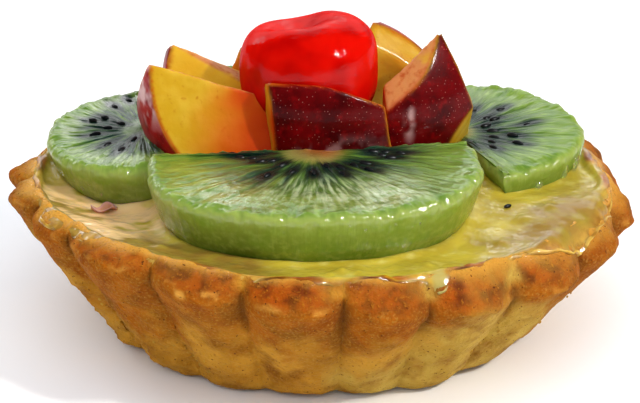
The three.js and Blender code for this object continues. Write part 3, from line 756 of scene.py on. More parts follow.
def crust_marks(rings, row, angle, share, on_wall, flank):
    """Where the shell is browned, golden, glazed, soaked with glaze and so on, where shade is painted in its
    creases and where its lip is paler, partly with a painted highlight.
    """
    lobe = flute(angle) + 0 * share
    blotch = 0.5 + 0.5 * rough(rings, 6, 6.6)
    patchy = rough(rings, 4.5, 8.8)
    bevel = smooth(LIP_ROW - 2.5 + 2.5 * patchy, LIP_ROW + 3, row)
    bevel = bevel * (1 - smooth(INNER_ROW - 1, INNER_ROW + 3, row))
    browned = np.clip(bevel * smooth(0.05, 0.7, lobe + 0.35 * patchy) * (0.6 + 0.6 * blotch), 0, 1)
    browned = browned * (1 - 0.55 * bell(angle, 1.25, 0.4)) * (1 - 0.5 * bell(angle, 4.9, 0.5))
    broken = smooth(-0.1, 0.6, lumps(rings, 2.4, 0.9) + 0.5 * lumps(rings, 1.1, 4.9))
    lip_colour_and_highlight = bell(row, EDGE_ROW, 2.6) * smooth(0.1, 0.7, lobe) * broken
    glazed = smooth(BEVEL_ROW - 4 * flank, INNER_ROW - 2 * flank, row)
    flutes = len(CREASES) + 1
    baked = np.interp(flute_count(angle), np.arange(flutes) + 0.5, np.resize(FLUTE_TONES, flutes))
    golden = bell(angle, 0.65, 0.4) + bell(angle, 0.22, 0.25) * (1 - smooth(0.1, 0.55, share))
    golden = golden + 0.5 * bell(angle, 3.4, 0.9)
    soaked = smooth(BEVEL_ROW + 1 - 5 * flank + 2.5 * patchy, CREST_ROW + 1, row)
    return {
        # painted shade in the creases between the flutes
        "shaded_fold": (1 - lobe) * on_wall * smooth(0.2, 0.9, share),
        # the lip, with its painted highlight made stronger on a flute at the front left
        "lip": lip_colour_and_highlight * (0.8 + 0.7 * bell(angle, 5.85, 0.16)),
        "browned": browned,
        "upper": on_wall * smooth(0.35, 0.95, share + 0.25 * patchy + 0.3 * baked),
        "glazed": 0.7 * glazed * smooth(-0.35, 0.35, lumps(rings, 4, 2.9)),
        "golden": (golden + 0.5 * np.maximum(-baked, 0)) * smooth(-1.8, 0.2, patchy),
        "soaked": soaked * (0.75 + 0.25 * flank),
    }


def make_crust(finish):
    """The baked shell, fluted, with its rim broken and browned."""
    angle = np.arange(CRUST_STEPS) / CRUST_STEPS * TURN
    rings = crust_rings(angle)
    row = np.arange(len(rings))[:, None] + 0 * angle
    share = np.clip(rings[..., 2] / lip_height(angle), 0, 1.2)
    on_wall = smooth(FOOT_ROW, LOW_ROW, row) * (1 - smooth(LIP_ROW, BEVEL_ROW, row))
    flank = bell(angle, 1.1, 0.5) + bell(angle, 5.15, 0.5)
    rings[..., 2] += bell(row, EDGE_ROW, 6) * 0.7 * lumps(rings[int(EDGE_ROW)], 4.5, 6.2)
    rings = rings + outward(rings) * crust_relief(rings, row, angle, share, on_wall, flank)[..., None]
    rings[..., 2] = np.maximum(rings[..., 2], 0)
    marks = crust_marks(rings, row, angle, share, on_wall, flank)
    piece = make_stacked("shortcrust_shell", rings, finish, "pastry", marks)
    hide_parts("crust")


# ---------------------------------------------------------------- custard

CUSTARD_STEPS = 560
# The film that laps over the rim, from its outer edge in: share of the lap, and its thickness there.
LAP = [(1.0, -0.9), (0.96, -0.4), (0.88, -0.18), (0.78, -0.05), (0.65, 0.05), (0.5, 0.13), (0.35, 0.24),
       (0.2, 0.38), (0.1, 0.5), (0.0, 0.5)]
LAP_SHARES, FILM = np.array(LAP).T
TOP_SHARES = np.linspace(0.99, 0.02, 110)  # rows across the top, as shares of the way to the edge

# Drops of glaze that stand on the custard: x, y, height, reach.
DROPS = [(3.0, -38.8, 0.7, 1.0), (5.4, -39.9, 0.55, 0.8), (1.2, -40.6, 0.5, 0.7), (-12.6, -37.2, 0.4, 0.8),
         (-24.5, -30.4, 0.6, 1.1), (27.5, -28.2, 0.6, 1.1), (35.5, -17.0, 0.6, 1.1), (31.0, -20.5, 0.45, 1.2),
         (-31.0, -20.0, 0.55, 1.4), (-28.0, -24.5, 0.5, 1.1), (16, -35.6, 0.4, 0.9)]

# Where custard and glaze ran over the rim: angle in degrees, width in degrees, how far over in mm.
RUNS = [(22.5, 2.4, 3.0), (-61, 4.0, 2.4), (52, 6, 1.4), (-24, 4, 0.8), (3, 5, 1.0), (118, 4, 1.8),
        (-40, 3, 1.0), (70, 7, 1.6), (205, 4, 2.0)]


def in_slice(kiwi, x, y):
    """Where points of the tart lie in a slice's own frame, seen from above."""
    facing = math.radians(kiwi["facing"])
    x, y = x - kiwi["middle"][0], y - kiwi["middle"][1]
    return x * math.cos(facing) + y * math.sin(facing), -x * math.sin(facing) + y * math.cos(facing)


def kiwi_edge_distance(points):
    """How far each point lies outside the nearest kiwi slice, seen from above."""
    draw_in, power = TAPERS[2], KIWI_SQUARENESS
    nearest = np.inf
    for kiwi in KIWIS.values():
        along, across = in_slice(kiwi, points[..., 0], points[..., 1])
        share = (np.abs(along / (kiwi["round"] - draw_in)) ** power
                 + np.abs(across / (kiwi["across"] - draw_in)) ** power) ** (1 / power)
        away = np.maximum((share - 1) * kiwi["round"], -kiwi["beyond"] - along)
        nearest = np.minimum(nearest, away)
    return nearest


def custard_top(share, angle):
    """Height of the custard at that share of the way from the middle to its edge."""
    pressed_at, spread, depth = PRESSED
    height = CUSTARD_HEIGHT - depth * bell(share, pressed_at, spread)
    radius = share * (RIM_RADIUS - WALL)
    for (x, y), rise, reach in CUSTARD_SWELLS:
        away = np.hypot(radius * np.sin(angle) - x, -radius * np.cos(angle) - y)
        height = height + rise * bell(away, 0, reach)
    return height + share**4 * (0.3 * rim_offset(angle) + 0.2 * np.sin(5 * angle + 1))


def along_rim(angle, reach):
    """Radius and height that far, along the top of the crust, outwards from the edge of the custard."""
    knots = [(inside_radius(angle, WALL_TOP), WALL_TOP)] + rim_profile(angle)[::-1]
    meets = (custard_top(1, angle) - WALL_TOP) / (knots[1][1] - WALL_TOP)
    radius, height, run = knots[0][0], knots[0][1], None
    for (r0, z0), (r1, z1) in zip(knots, knots[1:]):
        length = np.hypot(r1 - r0, z1 - z0)
        run = reach + meets * length if run is None else run
        part = np.clip(run / length, 0, 1)
        radius, height, run = radius + (r1 - r0) * part, height + (z1 - z0) * part, run - length
    return radius, height


def overrun(angle):
    """How far custard and glaze ran over the rim."""
    drip = 0 * angle
    for degrees, width, over in RUNS:
        away = (angle - math.radians(degrees) + math.pi) % TURN - math.pi
        drip += over * np.exp(-((away / math.radians(width)) ** 4))
    return drip


def lap_width(angle, edge, flank, drip):
    """How far the film laps over the rim from the edge of the custard."""
    at_edge = polar(angle, edge, 0)
    lap = 1.9 + 1.6 * (1 - flute(angle)) + 1.0 * lumps(at_edge, 7, 3.3) + 0.7 * lumps(at_edge, 2.6, 1.7)
    lap += 1.6 * flank * (1 + 0.6 * lumps(at_edge, 4, 9.3))
    return np.maximum(lap + drip, 1.3)


def custard_rings(angle, edge, lap):
    """The level custard, in rings from its underside up the wall, over the rim and in across the top."""
    under = [
        (BASE_RADIUS - WALL - FLOOR_ROUND - 1, FLOOR + 0.3),
        (inside_radius(angle, FLOOR + FLOOR_ROUND) - 0.6, FLOOR + FLOOR_ROUND + 0.3),
        (inside_radius(angle, WALL_TOP) - 0.6, WALL_TOP - 0.5),
    ]
    lapped = [along_rim(angle, lap * share) for share in LAP_SHARES]
    top = [(share * edge, custard_top(share, angle)) for share in TOP_SHARES]
    return np.stack([polar(angle, radius, height) for radius, height in under + lapped + top])


def top_relief(rings):
    """How far the top of the custard is uneven, stands in drops and climbs up the fruit."""
    away = kiwi_edge_distance(rings)
    climb = 0.7 * np.exp(-np.maximum(away, 0) / 0.7) * smooth(-3, 0, away)
    uneven = 0.22 * lumps(rings, 7, 2.1) + 0.14 * lumps(rings, 2.8, 3.9) + 0.05 * lumps(rings, 1.3, 6.9)
    for x, y, rise, reach in DROPS:
        uneven = uneven + rise * bell(np.hypot(rings[..., 0] - x, rings[..., 1] - y), 0, reach)
    return uneven + climb


def make_custard(finish):
    """The glazed custard that fills the shell and laps over its rim."""
    angle = np.arange(CUSTARD_STEPS) / CUSTARD_STEPS * TURN
    edge = inside_radius(angle, custard_top(1, angle))
    flank = bell(angle, math.radians(306), 0.65) + bell(angle, math.radians(58), 0.5)
    drip = overrun(angle)
    rings = custard_rings(angle, edge, lap_width(angle, edge, flank, drip))
    under = len(rings) - len(LAP) - len(TOP_SHARES)

    skin = slice(under, under + len(LAP))
    thick = FILM[:, None] * (1 + 0.22 * drip)
    thick = np.where(thick > 0, thick * (1 - 0.55 * flank), thick)
    thick += baked_relief(rings[skin]) + torn_relief(rings[skin])
    thick += 0.14 * LAP_SHARES[:, None] * rough(rings[skin], 1.9, 2.6)
    rings[skin] += outward(rings)[skin] * thick[..., None]
    rings[..., 2] += smooth(8, 22, np.arange(len(rings))[:, None]) * top_relief(rings)
    rings[under:] = soften(rings[under:], 3)

    over = np.concatenate([np.ones(under), LAP_SHARES, 0 * TOP_SHARES])[:, None]
    share = np.concatenate([np.ones(skin.stop), TOP_SHARES])[:, None]
    uneven = lumps(rings, 5, 1.4) + 0.5 * lumps(rings, 2, 6.6)
    on_lap = uneven * (over > 0)
    streaks = smooth(-0.6, 0.3, rough(rings * (0.5, 1, 1), 2.4, 4.7))
    thin = flank + 0.6 * bell(angle, math.radians(340), 0.22)
    # painted sheen, in streaks on the left side of the top
    painted_sheen = 1.1 * bell(angle, math.radians(296), 0.4) * smooth(0.55, 0.72, share) * (1 - smooth(0, 0.2, over))
    baked = flute(angle) ** 2 * (1 - 0.8 * flank)
    piece = make_stacked("custard_filling", rings, finish, "custard", {
        "edge": np.clip(over + 0.2 * on_lap, 0, 1) * (1 - 0.45 * flank),
        "thin": smooth(0.62, 1.0, share + 0.12 * uneven) * thin,
        "wet": 0.75 - 0.4 * bell(angle, math.radians(58), 0.6) + 0 * uneven,
        "painted_sheen": painted_sheen * streaks,
        "baked": baked * smooth(0.02, 0.35, over + 0.12 * on_lap),
        "cream": np.clip(2 * drip - 4.9, 0, 1) * smooth(0, 0.3, over),
    })
    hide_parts("custard")


# ---------------------------------------------------------------- kiwi

def on_slice(kiwi, turn):
    """Where the outline of the uncut slice lies at that turn round it, seen from above."""
    power = 2 / KIWI_SQUARENESS
    cosine, sine = np.cos(turn), np.sin(turn)
    return (np.copysign(np.abs(cosine) ** power, cosine) * kiwi["round"],
            np.copysign(np.abs(sine) ** power, sine) * kiwi["across"])


def slice_outline(kiwi, steps):
    """The slice's outline seen from above, with its round side towards +X and even steps."""
    half = math.pi / 2 + math.asin(kiwi["beyond"] / kiwi["round"])
    x, y = on_slice(kiwi, np.linspace(-half, half, 721))
    x = np.maximum(x, -kiwi["beyond"])
    x[0] = x[-1] = -kiwi["beyond"]
    loop = np.stack([np.append(x, x[0]), np.append(y, y[0])], axis=-1)
    run = np.append(0, np.cumsum(np.linalg.norm(np.diff(loop, axis=0), axis=-1)))
    where = np.arange(steps) / steps * run[-1]
    even = np.stack([np.interp(where, run, loop[:, i]) for i in (0, 1)], axis=-1)
    for _ in range(6):
        even = 0.5 * even + 0.25 * (np.roll(even, 1, axis=0) + np.roll(even, -1, axis=0))
    return even


def in_place(kiwi, points):
    """From the slice's own frame, top face at z = 0, into the tart."""
    lean, facing = math.radians(kiwi["lean"]), math.radians(kiwi["facing"])
    tip = np.array([[math.cos(lean), 0, math.sin(lean)], [0, 1, 0], [-math.sin(lean), 0, math.cos(lean)]])
    turn = np.array([[math.cos(facing), -math.sin(facing), 0], [math.sin(facing), math.cos(facing), 0],
                     [0, 0, 1]])
    return points @ (turn @ tip).T + kiwi["middle"]


def seed_places(kiwi, draws):
    """Where the seeds lie in the slice's own frame: given ones, or two uneven rows round the core."""
    if isinstance(kiwi["seeds"], list):
        return np.column_stack(in_slice(kiwi, *np.array(kiwi["seeds"]).T))
    count = kiwi["seeds"]
    turns = -1.5 + 3.0 * (np.arange(count) + draws.uniform(0, 1, count)) / count
    shares = np.array([0.3, 0.44, 0.36, 0.55])[np.arange(count) % 4] + draws.uniform(-0.05, 0.05, count)
    return np.column_stack([shares * kiwi["round"] * np.cos(turns), shares * kiwi["across"] * np.sin(turns)])


def slice_rows(kiwi, steps, top_rows):
    """Rows of (outline, depth) from the underside up the side, over the edge and in to the core."""
    core, thick = (kiwi["core"], 0), kiwi["thickness"]
    outline = slice_outline(kiwi, steps)
    ahead = np.roll(outline, -1, axis=0) - np.roll(outline, 1, axis=0)
    out = np.stack([ahead[:, 1], -ahead[:, 0]], axis=-1)
    out /= np.linalg.norm(out, axis=-1, keepdims=True)
    rows = [(core + (outline - out * TAPERS[-1] - core) * share, thick) for share in (0.3, 0.7, 0.95)]
    for depth in np.linspace(thick, KIWI_EDGE_ROUND, 24):
        rows.append((outline - out * np.interp(depth / thick, TAPER_DEPTHS, TAPERS), depth))
    for turn in np.linspace(0, math.pi / 2, 10)[1:]:
        depth = KIWI_EDGE_ROUND * (1 - math.sin(turn))
        draw_in = np.interp(depth / thick, TAPER_DEPTHS, TAPERS) + KIWI_EDGE_ROUND * (1 - math.cos(turn))
        rows.append((outline - out * draw_in, depth))
    rim = outline - out * KIWI_EDGE_ROUND
    top = [(core + (rim - core) * share, 0.0) for share in np.linspace(1, 0.02, top_rows)[1:]]
    return rows + top, len(rows)


def near_seeds(flat, seeds, turns, length, width):
    """1 at each seed, falling off over a length towards the core and a width across it."""
    nearest = np.zeros(flat.shape[:-1])
    for (seed_x, seed_y), turn in zip(seeds, turns):
        x, y = flat[..., 0] - seed_x, flat[..., 1] - seed_y
        along = x * math.cos(turn) + y * math.sin(turn)
        across = -x * math.sin(turn) + y * math.cos(turn)
        nearest = np.maximum(nearest, bell(along, 0, length) * bell(across, 0, width))
    return nearest


def make_kiwi(node, flesh, seed_coat, draws):
    """A half-moon of kiwi with its seeds."""
    kiwi = KIWIS[node]
    front = node == "kiwi_front"
    steps, top_rows = (620, 90) if front else (440, 64)
    rows, side_rows = slice_rows(kiwi, steps, top_rows)
    flat = np.stack([np.column_stack([place, np.full(steps, -depth)]) for place, depth in rows])
    depth = -flat[..., 2] / kiwi["thickness"]
    core = np.array([kiwi["core"], 0.0])
    from_core = (flat[..., :2] - core) / (kiwi["round"] - core[0] * 0.4, kiwi["across"])
    share = np.linalg.norm(from_core, axis=-1)
    ray = from_core / np.maximum(share, 1e-6)[..., None]
    row = np.arange(len(rows))[:, None] + 0 * share
    ragged = rough(flat, 1.8, 8.8)
    on_top = smooth(side_rows - 8 + 3 * ragged, side_rows - 1, row)
    flesh_top = smooth(side_rows - 5, side_rows + 3, row)
    edge = bell(row, side_rows - 4, 7)
    rays = np.concatenate([ray * 7, share[..., None] * 1.6], axis=-1)
    fibre = lumps(rays * 1.6, 1, 3.1) + 0.6 * lumps(rays * 3.3, 1, 6.4)
    seeds = seed_places(kiwi, draws)
    turns = np.arctan2(seeds[:, 1] - core[1], seeds[:, 0] - core[0])
    shade = near_seeds(flat, seeds, turns, 3.1, 1.3)
    hollow = near_seeds(flat, seeds, turns, 1.5, 0.85)
    relief = flesh_top * (0.28 * lumps(flat, 6, 5.5) + 0.12 * lumps(flat, 2.6, 1.8) - 0.1 * hollow
                          + 0.14 * fibre * smooth(0.1, 0.35, share))
    relief += (1 - flesh_top) * (0.22 * lumps(flat, 6, 1.2) + 0.03 * lumps(rays * 4, 1, 2.2))
    relief += 0.36 * edge * ragged
    flat = flat + outward(flat) * relief[..., None]
    placed = in_place(kiwi, flat)
    gloom = kiwi.get("gloom", 1.0)
    locule = gloom * smooth(0.16, 0.28, share) * (1 - smooth(0.42, 0.8, share + 0.06 * fibre)) * on_top
    piece = make_stacked(node + "_slice", placed, flesh, "kiwi", {
        "ray_x": ray[..., 0] * RAY_SPREAD, "ray_y": ray[..., 1] * RAY_SPREAD, "ray_length": share * 0.55,
        "outer": smooth(0.4, 1.0, share), "core": (1 - smooth(0.1, 0.25, share + 0.03 * fibre)) / gloom**2,
        "locule": locule, "wet": kiwi["gloss"] * (1 - 0.5 * np.minimum(locule, 1.2)) * (1 - 0.55 * edge),
        "rim": smooth(0.32, 0.04, depth + 0.05 * ragged), "depth": depth, "side": 1 - on_top,
        # painted shade on the left-hand side of each slice
        "seed_shade": shade * on_top, "shaded_left_side": smooth(-6, 14, -placed[..., 0]),
        # painted reflection on the top of the front slice
        "painted_reflection": front * bell(np.hypot((flat[..., 0] - 12) / 7.5, (flat[..., 1] - 3) / 17), 0, 1),
        "juice": front * bell(np.hypot(flat[..., 0] + 5.5, flat[..., 1] - 1.5), 0, 4.5),
    })
    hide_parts(node)
    make_seeds(node + "_seeds", kiwi, zip(seeds, turns), seed_coat, draws)


SEED_HALF = np.array([1.0, 0.5, 0.42])


def make_seeds(name, kiwi, places, finish, draws):
    """Seeds with their points to the core, set into the top of a slice."""
    directions, faces = ball(2)
    bodies = []
    for (x, y), turn in places:
        aim = turn + draws.uniform(-0.2, 0.2)
        seed = directions * SEED_HALF * draws.uniform(0.85, 1.1)
        seed[:, 1:] *= 1 - 0.35 * directions[:, :1]
        bodies.append(in_place(kiwi, np.column_stack([
            seed[:, 0] * math.cos(aim) - seed[:, 1] * math.sin(aim) + x,
            seed[:, 0] * math.sin(aim) + seed[:, 1] * math.cos(aim) + y,
            seed[:, 2] - draws.uniform(0.18, 0.36),
        ])))
    make_piece(name, *joined(bodies, faces), finish, "kiwi")


# ---------------------------------------------------------------- nectarine

SOFT_EDGE = 0.16  # how round the edges between a wedge's cuts and skin are
OUT_OF_REACH = 1e3
FINE_WEDGES = ("nectarine_left", "nectarine_front", "nectarine_right")


def unit(way):
    """The same way with length 1."""
    return np.array(way, dtype=float) / np.linalg.norm(way)


def skin_radius(wedge, ways):
    """Radius of the whole fruit in those directions from its heart."""
    radius = np.full(ways.shape[0], float(wedge["radius"]))
    if "tip" in wedge:
        turn = np.arccos(np.clip(ways @ unit(wedge["tip"]["toward"]), -1, 1))
        radius += wedge["tip"]["rise"] * bell(turn, 0, wedge["tip"]["spread"])
    return radius


def deep_inside(node, cuts, draws):
    """Of many points in the node's box, the one that lies deepest under the wedge's skin and cuts."""
    wedge = NECTARINES[node]
    low, high = (np.array(corner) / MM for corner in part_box(node))
    tries = draws.uniform(low, high, (6000, 3))
    depth = wedge["radius"] - np.linalg.norm(tries - wedge["heart"], axis=-1)
    for at, way in cuts:
        depth = np.minimum(depth, (at - tries) @ way)
    if "stone" in wedge:
        middle, radius = wedge["stone"]
        depth = np.minimum(depth, np.linalg.norm(tries - middle, axis=-1) - radius)
    return tries[np.argmax(depth)]


def skin_distance(wedge, offset, ways):
    """How far the skin lies from a point that is offset from the heart.

    It is found again and again, because the tip makes the fruit not quite round.
    """
    radius = np.full(len(ways), float(wedge["radius"]))
    along = ways @ offset
    for _ in range(4):
        distance = -along + np.sqrt(along**2 + radius**2 - offset @ offset)
        there = offset + ways * distance[:, None]
        radius = skin_radius(wedge, there / np.linalg.norm(there, axis=-1, keepdims=True))
    return distance


def stone_distance(radius, offset, ways):
    """How far the hollow of the stone lies from a point that is offset from the stone's middle."""
    along = ways @ offset
    inside = along**2 - offset @ offset + radius**2
    hit = -along - np.sqrt(np.maximum(inside, 0))
    return np.where((inside > 0) & (hit > 0), hit, OUT_OF_REACH)


def reaches(wedge, cuts, inner, ways):
    """How far the skin, each cut and the hollow of the stone lie from a point inside the wedge."""
    reach = [skin_distance(wedge, inner - wedge["heart"], ways)]
    for at, way in cuts:
        toward = ways @ way
        ahead = ((at - inner) @ way) / np.maximum(toward, 1e-4)
        distance = np.where(toward > 1e-4, ahead, OUT_OF_REACH)
        reach.append(distance + 0.25 * lumps(inner + ways * np.minimum(distance, 60)[:, None], 7, 2.5))
    if "stone" in wedge:
        middle, radius = wedge["stone"]
        reach.append(stone_distance(radius, inner - middle, ways))
    return np.stack(reach)


def wedge_marks(wedge, points, is_skin, weight):
    """Where a wedge blushes, is stringy from the stone, shows the rind of its cut skin, has bloom and painted
    highlights, and has its flesh painted lighter where it lies in shade.
    """
    at, spread, amount = wedge["blush"]
    blush = amount * bell(np.linalg.norm(points - at, axis=-1), 0, spread)
    near_stone = np.zeros(len(points))
    if "stone" in wedge:
        middle, radius = wedge["stone"]
        from_stone = np.linalg.norm(points - middle, axis=-1)
        near_stone = wedge.get("stringy", 1) * bell(from_stone, radius, 1.2)
    if "stone_cut" in wedge:
        pale = weight[1 + wedge["stone_cut"]] / weight.sum(axis=0)
        near_stone = np.maximum(near_stone, pale * smooth(-1.6, 0.2, rough(points, 3, 5.3)))
    # pale bloom with a painted highlight, at a given place on the skin
    at, spread, amount = wedge.get("bloom_and_highlight", ((0, 0, 0), 1, 0))
    bloom_and_highlight = amount * bell(np.linalg.norm((points - at) / spread, axis=-1), 0, 1) * is_skin
    from_heart = np.linalg.norm(points - wedge["heart"], axis=-1)
    below_skin = skin_radius(wedge, (points - wedge["heart"]) / from_heart[:, None]) - from_heart
    light, lit_flesh = (np.full(len(points), wedge.get(key, 0.0)) for key in ("light", "lit_flesh"))
    return {
        "skin": is_skin, "pith": near_stone, "light": light, "lit_flesh": lit_flesh,
        "blush": blush * (0.85 + 0.3 * lumps(points, 4, 7.2)),
        "bloom_and_highlight": bloom_and_highlight * smooth(-0.7, 0.5, rough(points, 2, 9.1)),
        "rind": (1 - is_skin) * (1 - smooth(0.1, 0.9, below_skin)) * (0.55 + 0.45 * light),
    }


def make_wedge(node, finish, draws):
    """What is left of a round fruit after the cuts, as seen from a point deep inside it."""
    wedge = NECTARINES[node]
    cuts = [(np.array(at, dtype=float), unit(way)) for at, way in wedge["cuts"]]
    cuts.append((np.array([0, 0, WEDGE_BOTTOM]), np.array([0, 0, -1.0])))
    inner = deep_inside(node, cuts, draws)
    ways, faces = ball(6 if node in FINE_WEDGES else 5)
    reach = reaches(wedge, cuts, inner, ways)
    shortest = reach.min(axis=0)
    weight = np.exp(-(reach - shortest) / SOFT_EDGE)
    far = shortest - SOFT_EDGE * np.log(weight.sum(axis=0))
    is_skin = 1 / (1 + np.exp(-(reach[1:].min(axis=0) - reach[0]) / 0.12))
    points = inner + ways * far[:, None]
    relief = is_skin * 0.06 * lumps(points, 3.4, 1.9)
    relief += (1 - is_skin) * (0.07 * lumps(points, 1.3, 4.8) + 0.1 * lumps(points, 3.0, 6.1))
    points = points + ways * relief[:, None]
    marks = wedge_marks(wedge, points, is_skin, weight)
    piece = make_piece(node + "_wedge", points, faces, finish, "nectarine", marks)
    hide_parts(node)


# ---------------------------------------------------------------- cherry

def make_cherry(finish):
    """The cherry: a squarish ball, higher on one side, with a dimple where its stalk was."""
    ways, faces = ball(6)
    middle, radius, half = np.array(CHERRY["middle"]), CHERRY["radius"], CHERRY["half_height"]
    power = CHERRY["squareness"]
    level, height = np.hypot(ways[:, 0], ways[:, 1]), ways[:, 2]
    full = (level**power + np.abs(height) ** power) ** (-1 / power)
    x, y = ways[:, 0] * full * radius, ways[:, 1] * full * radius
    length = np.where(y < DIMPLE["at"][1], DIMPLE["front"], DIMPLE["back"])
    away = ((x - DIMPLE["at"][0]) / DIMPLE["width"]) ** 2 + ((y - DIMPLE["at"][1]) / length) ** 2
    above = smooth(0, 0.35, height)
    tilt = np.where(ways[:, 0] > 0, CHERRY["lobe_rise"], CHERRY["lobe_drop"]) * ways[:, 0] * height
    z = height * full * half + above * (tilt - DIMPLE["depth"] * np.exp(-away))
    points = np.column_stack([x, y, z]) + middle
    points += ways * (0.14 * lumps(points, 6, 4.2) + 0.04 * lumps(points, 2.2, 5.9))[:, None]
    dimple_dark = bell(x, DIMPLE["at"][0], 2.0) * bell(y, DIMPLE["at"][1] - 0.6, 0.9) * (height > 0)
    piece = make_piece("candied_cherry", points, faces, finish, "candied_cherry", {"dimple_dark": dimple_dark})
    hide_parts("cherry")


# ---------------------------------------------------------------- crumbs, glaze and stray bits

def scatter(name, bits, finish, slot, subdivisions, roughness, marks=None):
    """Small lumps, each with its place, its three half sizes and its way of lying."""
    directions, faces = ball(subdivisions)
    bodies = []
    for number, (place, half, turn) in enumerate(bits):
        swell = 1 + roughness * lumps(directions * 1.3, 1, 2.9 * number)
        bodies.append(directions * half * swell[:, None] @ turn.T + place)
    points, faces = joined(bodies, faces)
    values = {mark: np.full(len(points), value) for mark, value in (marks or {}).items()}
    make_piece(name, points, faces, finish, slot, values)


def lying_on(way):
    """A turn that lays a lump's flat side on a surface that faces that way, with its length up the slope."""
    up = unit(way)
    along = np.cross(np.cross(up, (0, 0, 1)), up)
    along = unit(along) if np.linalg.norm(along) > 1e-3 else np.array([1.0, 0, 0])
    return np.column_stack([along, np.cross(up, along), up])


# Where pastry crumbled: middle in degrees, spread in degrees, share of the wall's height, how many.
CRUMBLY = [(327, 3, 0.35, 34), (305, 4, 0.3, 26), (316, 9, 0.12, 30), (290, 6, 0.25, 18), (59, 9, 0.4, 22),
           (40, 5, 0.3, 12), (190, 40, 0.3, 40)]


def make_crumbs(finish, draws):
    """Crumbs of pastry that cling in the folds and along the foot of the wall."""
    crumbs = []
    for middle, spread, share, count in CRUMBLY:
        for _ in range(count):
            angle = math.radians(middle + spread * draws.normal())
            up = float(np.clip(share + 0.16 * draws.normal(), 0.12, 0.85))
            out = np.array([math.sin(angle), -math.cos(angle), -0.5])
            at = polar(angle, outside_radius(angle, up), up * lip_height(angle))
            half = draws.uniform(0.14, 0.42) * np.array([1, draws.uniform(0.6, 1), 0.7])
            crumbs.append((at - 0.1 * out, half, lying_on(out)))
    scatter("shortcrust_crumbs", crumbs, finish, "pastry", 2, 0.35, {"golden": 0.6})


def slice_side(kiwi, turn, depth):
    """A point on the side of a slice and the way the side faces there."""
    x, y = on_slice(kiwi, turn)
    out = unit((math.cos(turn), math.sin(turn) * kiwi["round"] / kiwi["across"], -0.2))
    draw_in = np.interp(depth / kiwi["thickness"], TAPER_DEPTHS[:3], (0.1, *TAPERS[1:3]))
    at = np.array([x, y, -depth]) - draw_in * out * (1, 1, 0)
    there, beyond = in_place(kiwi, np.array([at, at + out]))
    return there, beyond - there


# Beads of glaze on each slice's side: turn round it in degrees, depth, half length, half width.
BEADS = {
    "kiwi_right": [(-24, 2.4, 1.4, 0.5), (-37, 3.0, 1.7, 0.6), (-44, 3.6, 2.0, 0.8), (-55, 4.2, 1.8, 0.8),
                   (-74, 4.0, 1.5, 0.7), (-80, 5.6, 1.2, 0.9), (-64, 5.8, 1.3, 0.9)],
    "kiwi_front": [(24, 1.6, 0.5, 0.28), (20, 2.2, 0.35, 0.25), (10, 2.6, 0.4, 0.22), (5, 1.8, 0.3, 0.25),
                   (30, 2.8, 0.35, 0.2)],
    "kiwi_left": [(40, 4.4, 0.5, 0.3), (48, 3.0, 0.4, 0.22), (55, 4.8, 0.5, 0.25)],
    "kiwi_back": [(10, 4.0, 1.0, 0.45), (-25, 5.0, 0.9, 0.45)],
}


def make_beads(finish):
    """Beads of glaze where it ran down the fruit and gathered."""
    beads = []
    for node, gathered in BEADS.items():
        for degrees, depth, length, width in gathered:
            at, out = slice_side(KIWIS[node], math.radians(degrees), depth)
            beads.append((at, (length, width, 0.5 * width), lying_on(out)))
    scatter("glaze_beads", beads, finish, None, 3, 0.45)


SHRED_AT, LOOSE_SEED_AT = (-34.4, -13.0), (29.1, -15.8)


def custard_height(x, y):
    """Height of the custard under a place on the tart."""
    angle = np.array([math.atan2(x, -y) % TURN])
    share = math.hypot(x, y) / inside_radius(angle, custard_top(1, angle))
    return float(custard_top(share, angle)[0])


def make_skin_shred(finish):
    """A curled shred of nectarine skin, thick as skin is, that lies on the custard."""
    across = np.linspace(-1, 1, 13)
    rings, edges = [], []
    for part in np.linspace(-1, 1, 31):
        width = 0.85 * math.sqrt(max(1 - part**4, 0.02)) * (1 + 0.35 * math.sin(4 * part + 0.6))
        x = SHRED_AT[0] + 2.0 * part
        y = SHRED_AT[1] + 0.8 * part + 0.4 * math.sin(3 * part)
        top = custard_height(x, y) + 0.55 + 0.3 * math.sin(4 * part)
        upper = [(x - 0.4 * width * t, y + width * t, top + 0.5 * t * t) for t in across]
        lower = [(px, py, pz - 0.2) for px, py, pz in upper[::-1]]
        rings.append(upper + lower)
        edges.append([abs(t) for t in across] * 2)
    points, faces = stack(np.array(rings)[:, ::-1])
    ones = np.ones(len(points))
    edge = smooth(0.5, 1, with_ends(np.array(edges)))
    make_piece("skin_shred", points, faces, finish, "nectarine",
               {"skin": 0.3 + 0.5 * edge, "light": ones, "pith": ones, "bloom_and_highlight": 0.9 * ones})


def make_loose_seed(finish):
    """A kiwi seed that fell on the custard."""
    x, y = LOOSE_SEED_AT
    at = (x, y, custard_height(x, y) + 0.3)
    spin = np.array([[0.8, -0.6, 0], [0.6, 0.8, 0], [0, 0, 1]])
    scatter("loose_seed", [(at, 0.75 * SEED_HALF, spin)], finish, "kiwi", 2, 0.05)


# ---------------------------------------------------------------- putting the tart together

crust_finish = shortcrust()
make_crust(crust_finish)
make_custard(set_custard())
kiwi_finish, seed_finish = kiwi_flesh(), kiwi_seed()
kiwi_draws = np.random.default_rng(21)
for node in KIWIS:
    make_kiwi(node, kiwi_finish, seed_finish, kiwi_draws)
nectarine_finish = nectarine()
wedge_draws = np.random.default_rng(8)
for node in NECTARINES:
    make_wedge(node, nectarine_finish, wedge_draws)
make_cherry(candied_cherry())
make_crumbs(crust_finish, np.random.default_rng(14))
make_beads(clear_glaze())
make_skin_shred(nectarine_finish)
make_loose_seed(seed_finish)


# ---------------------------------------------------------------- floor, light and camera

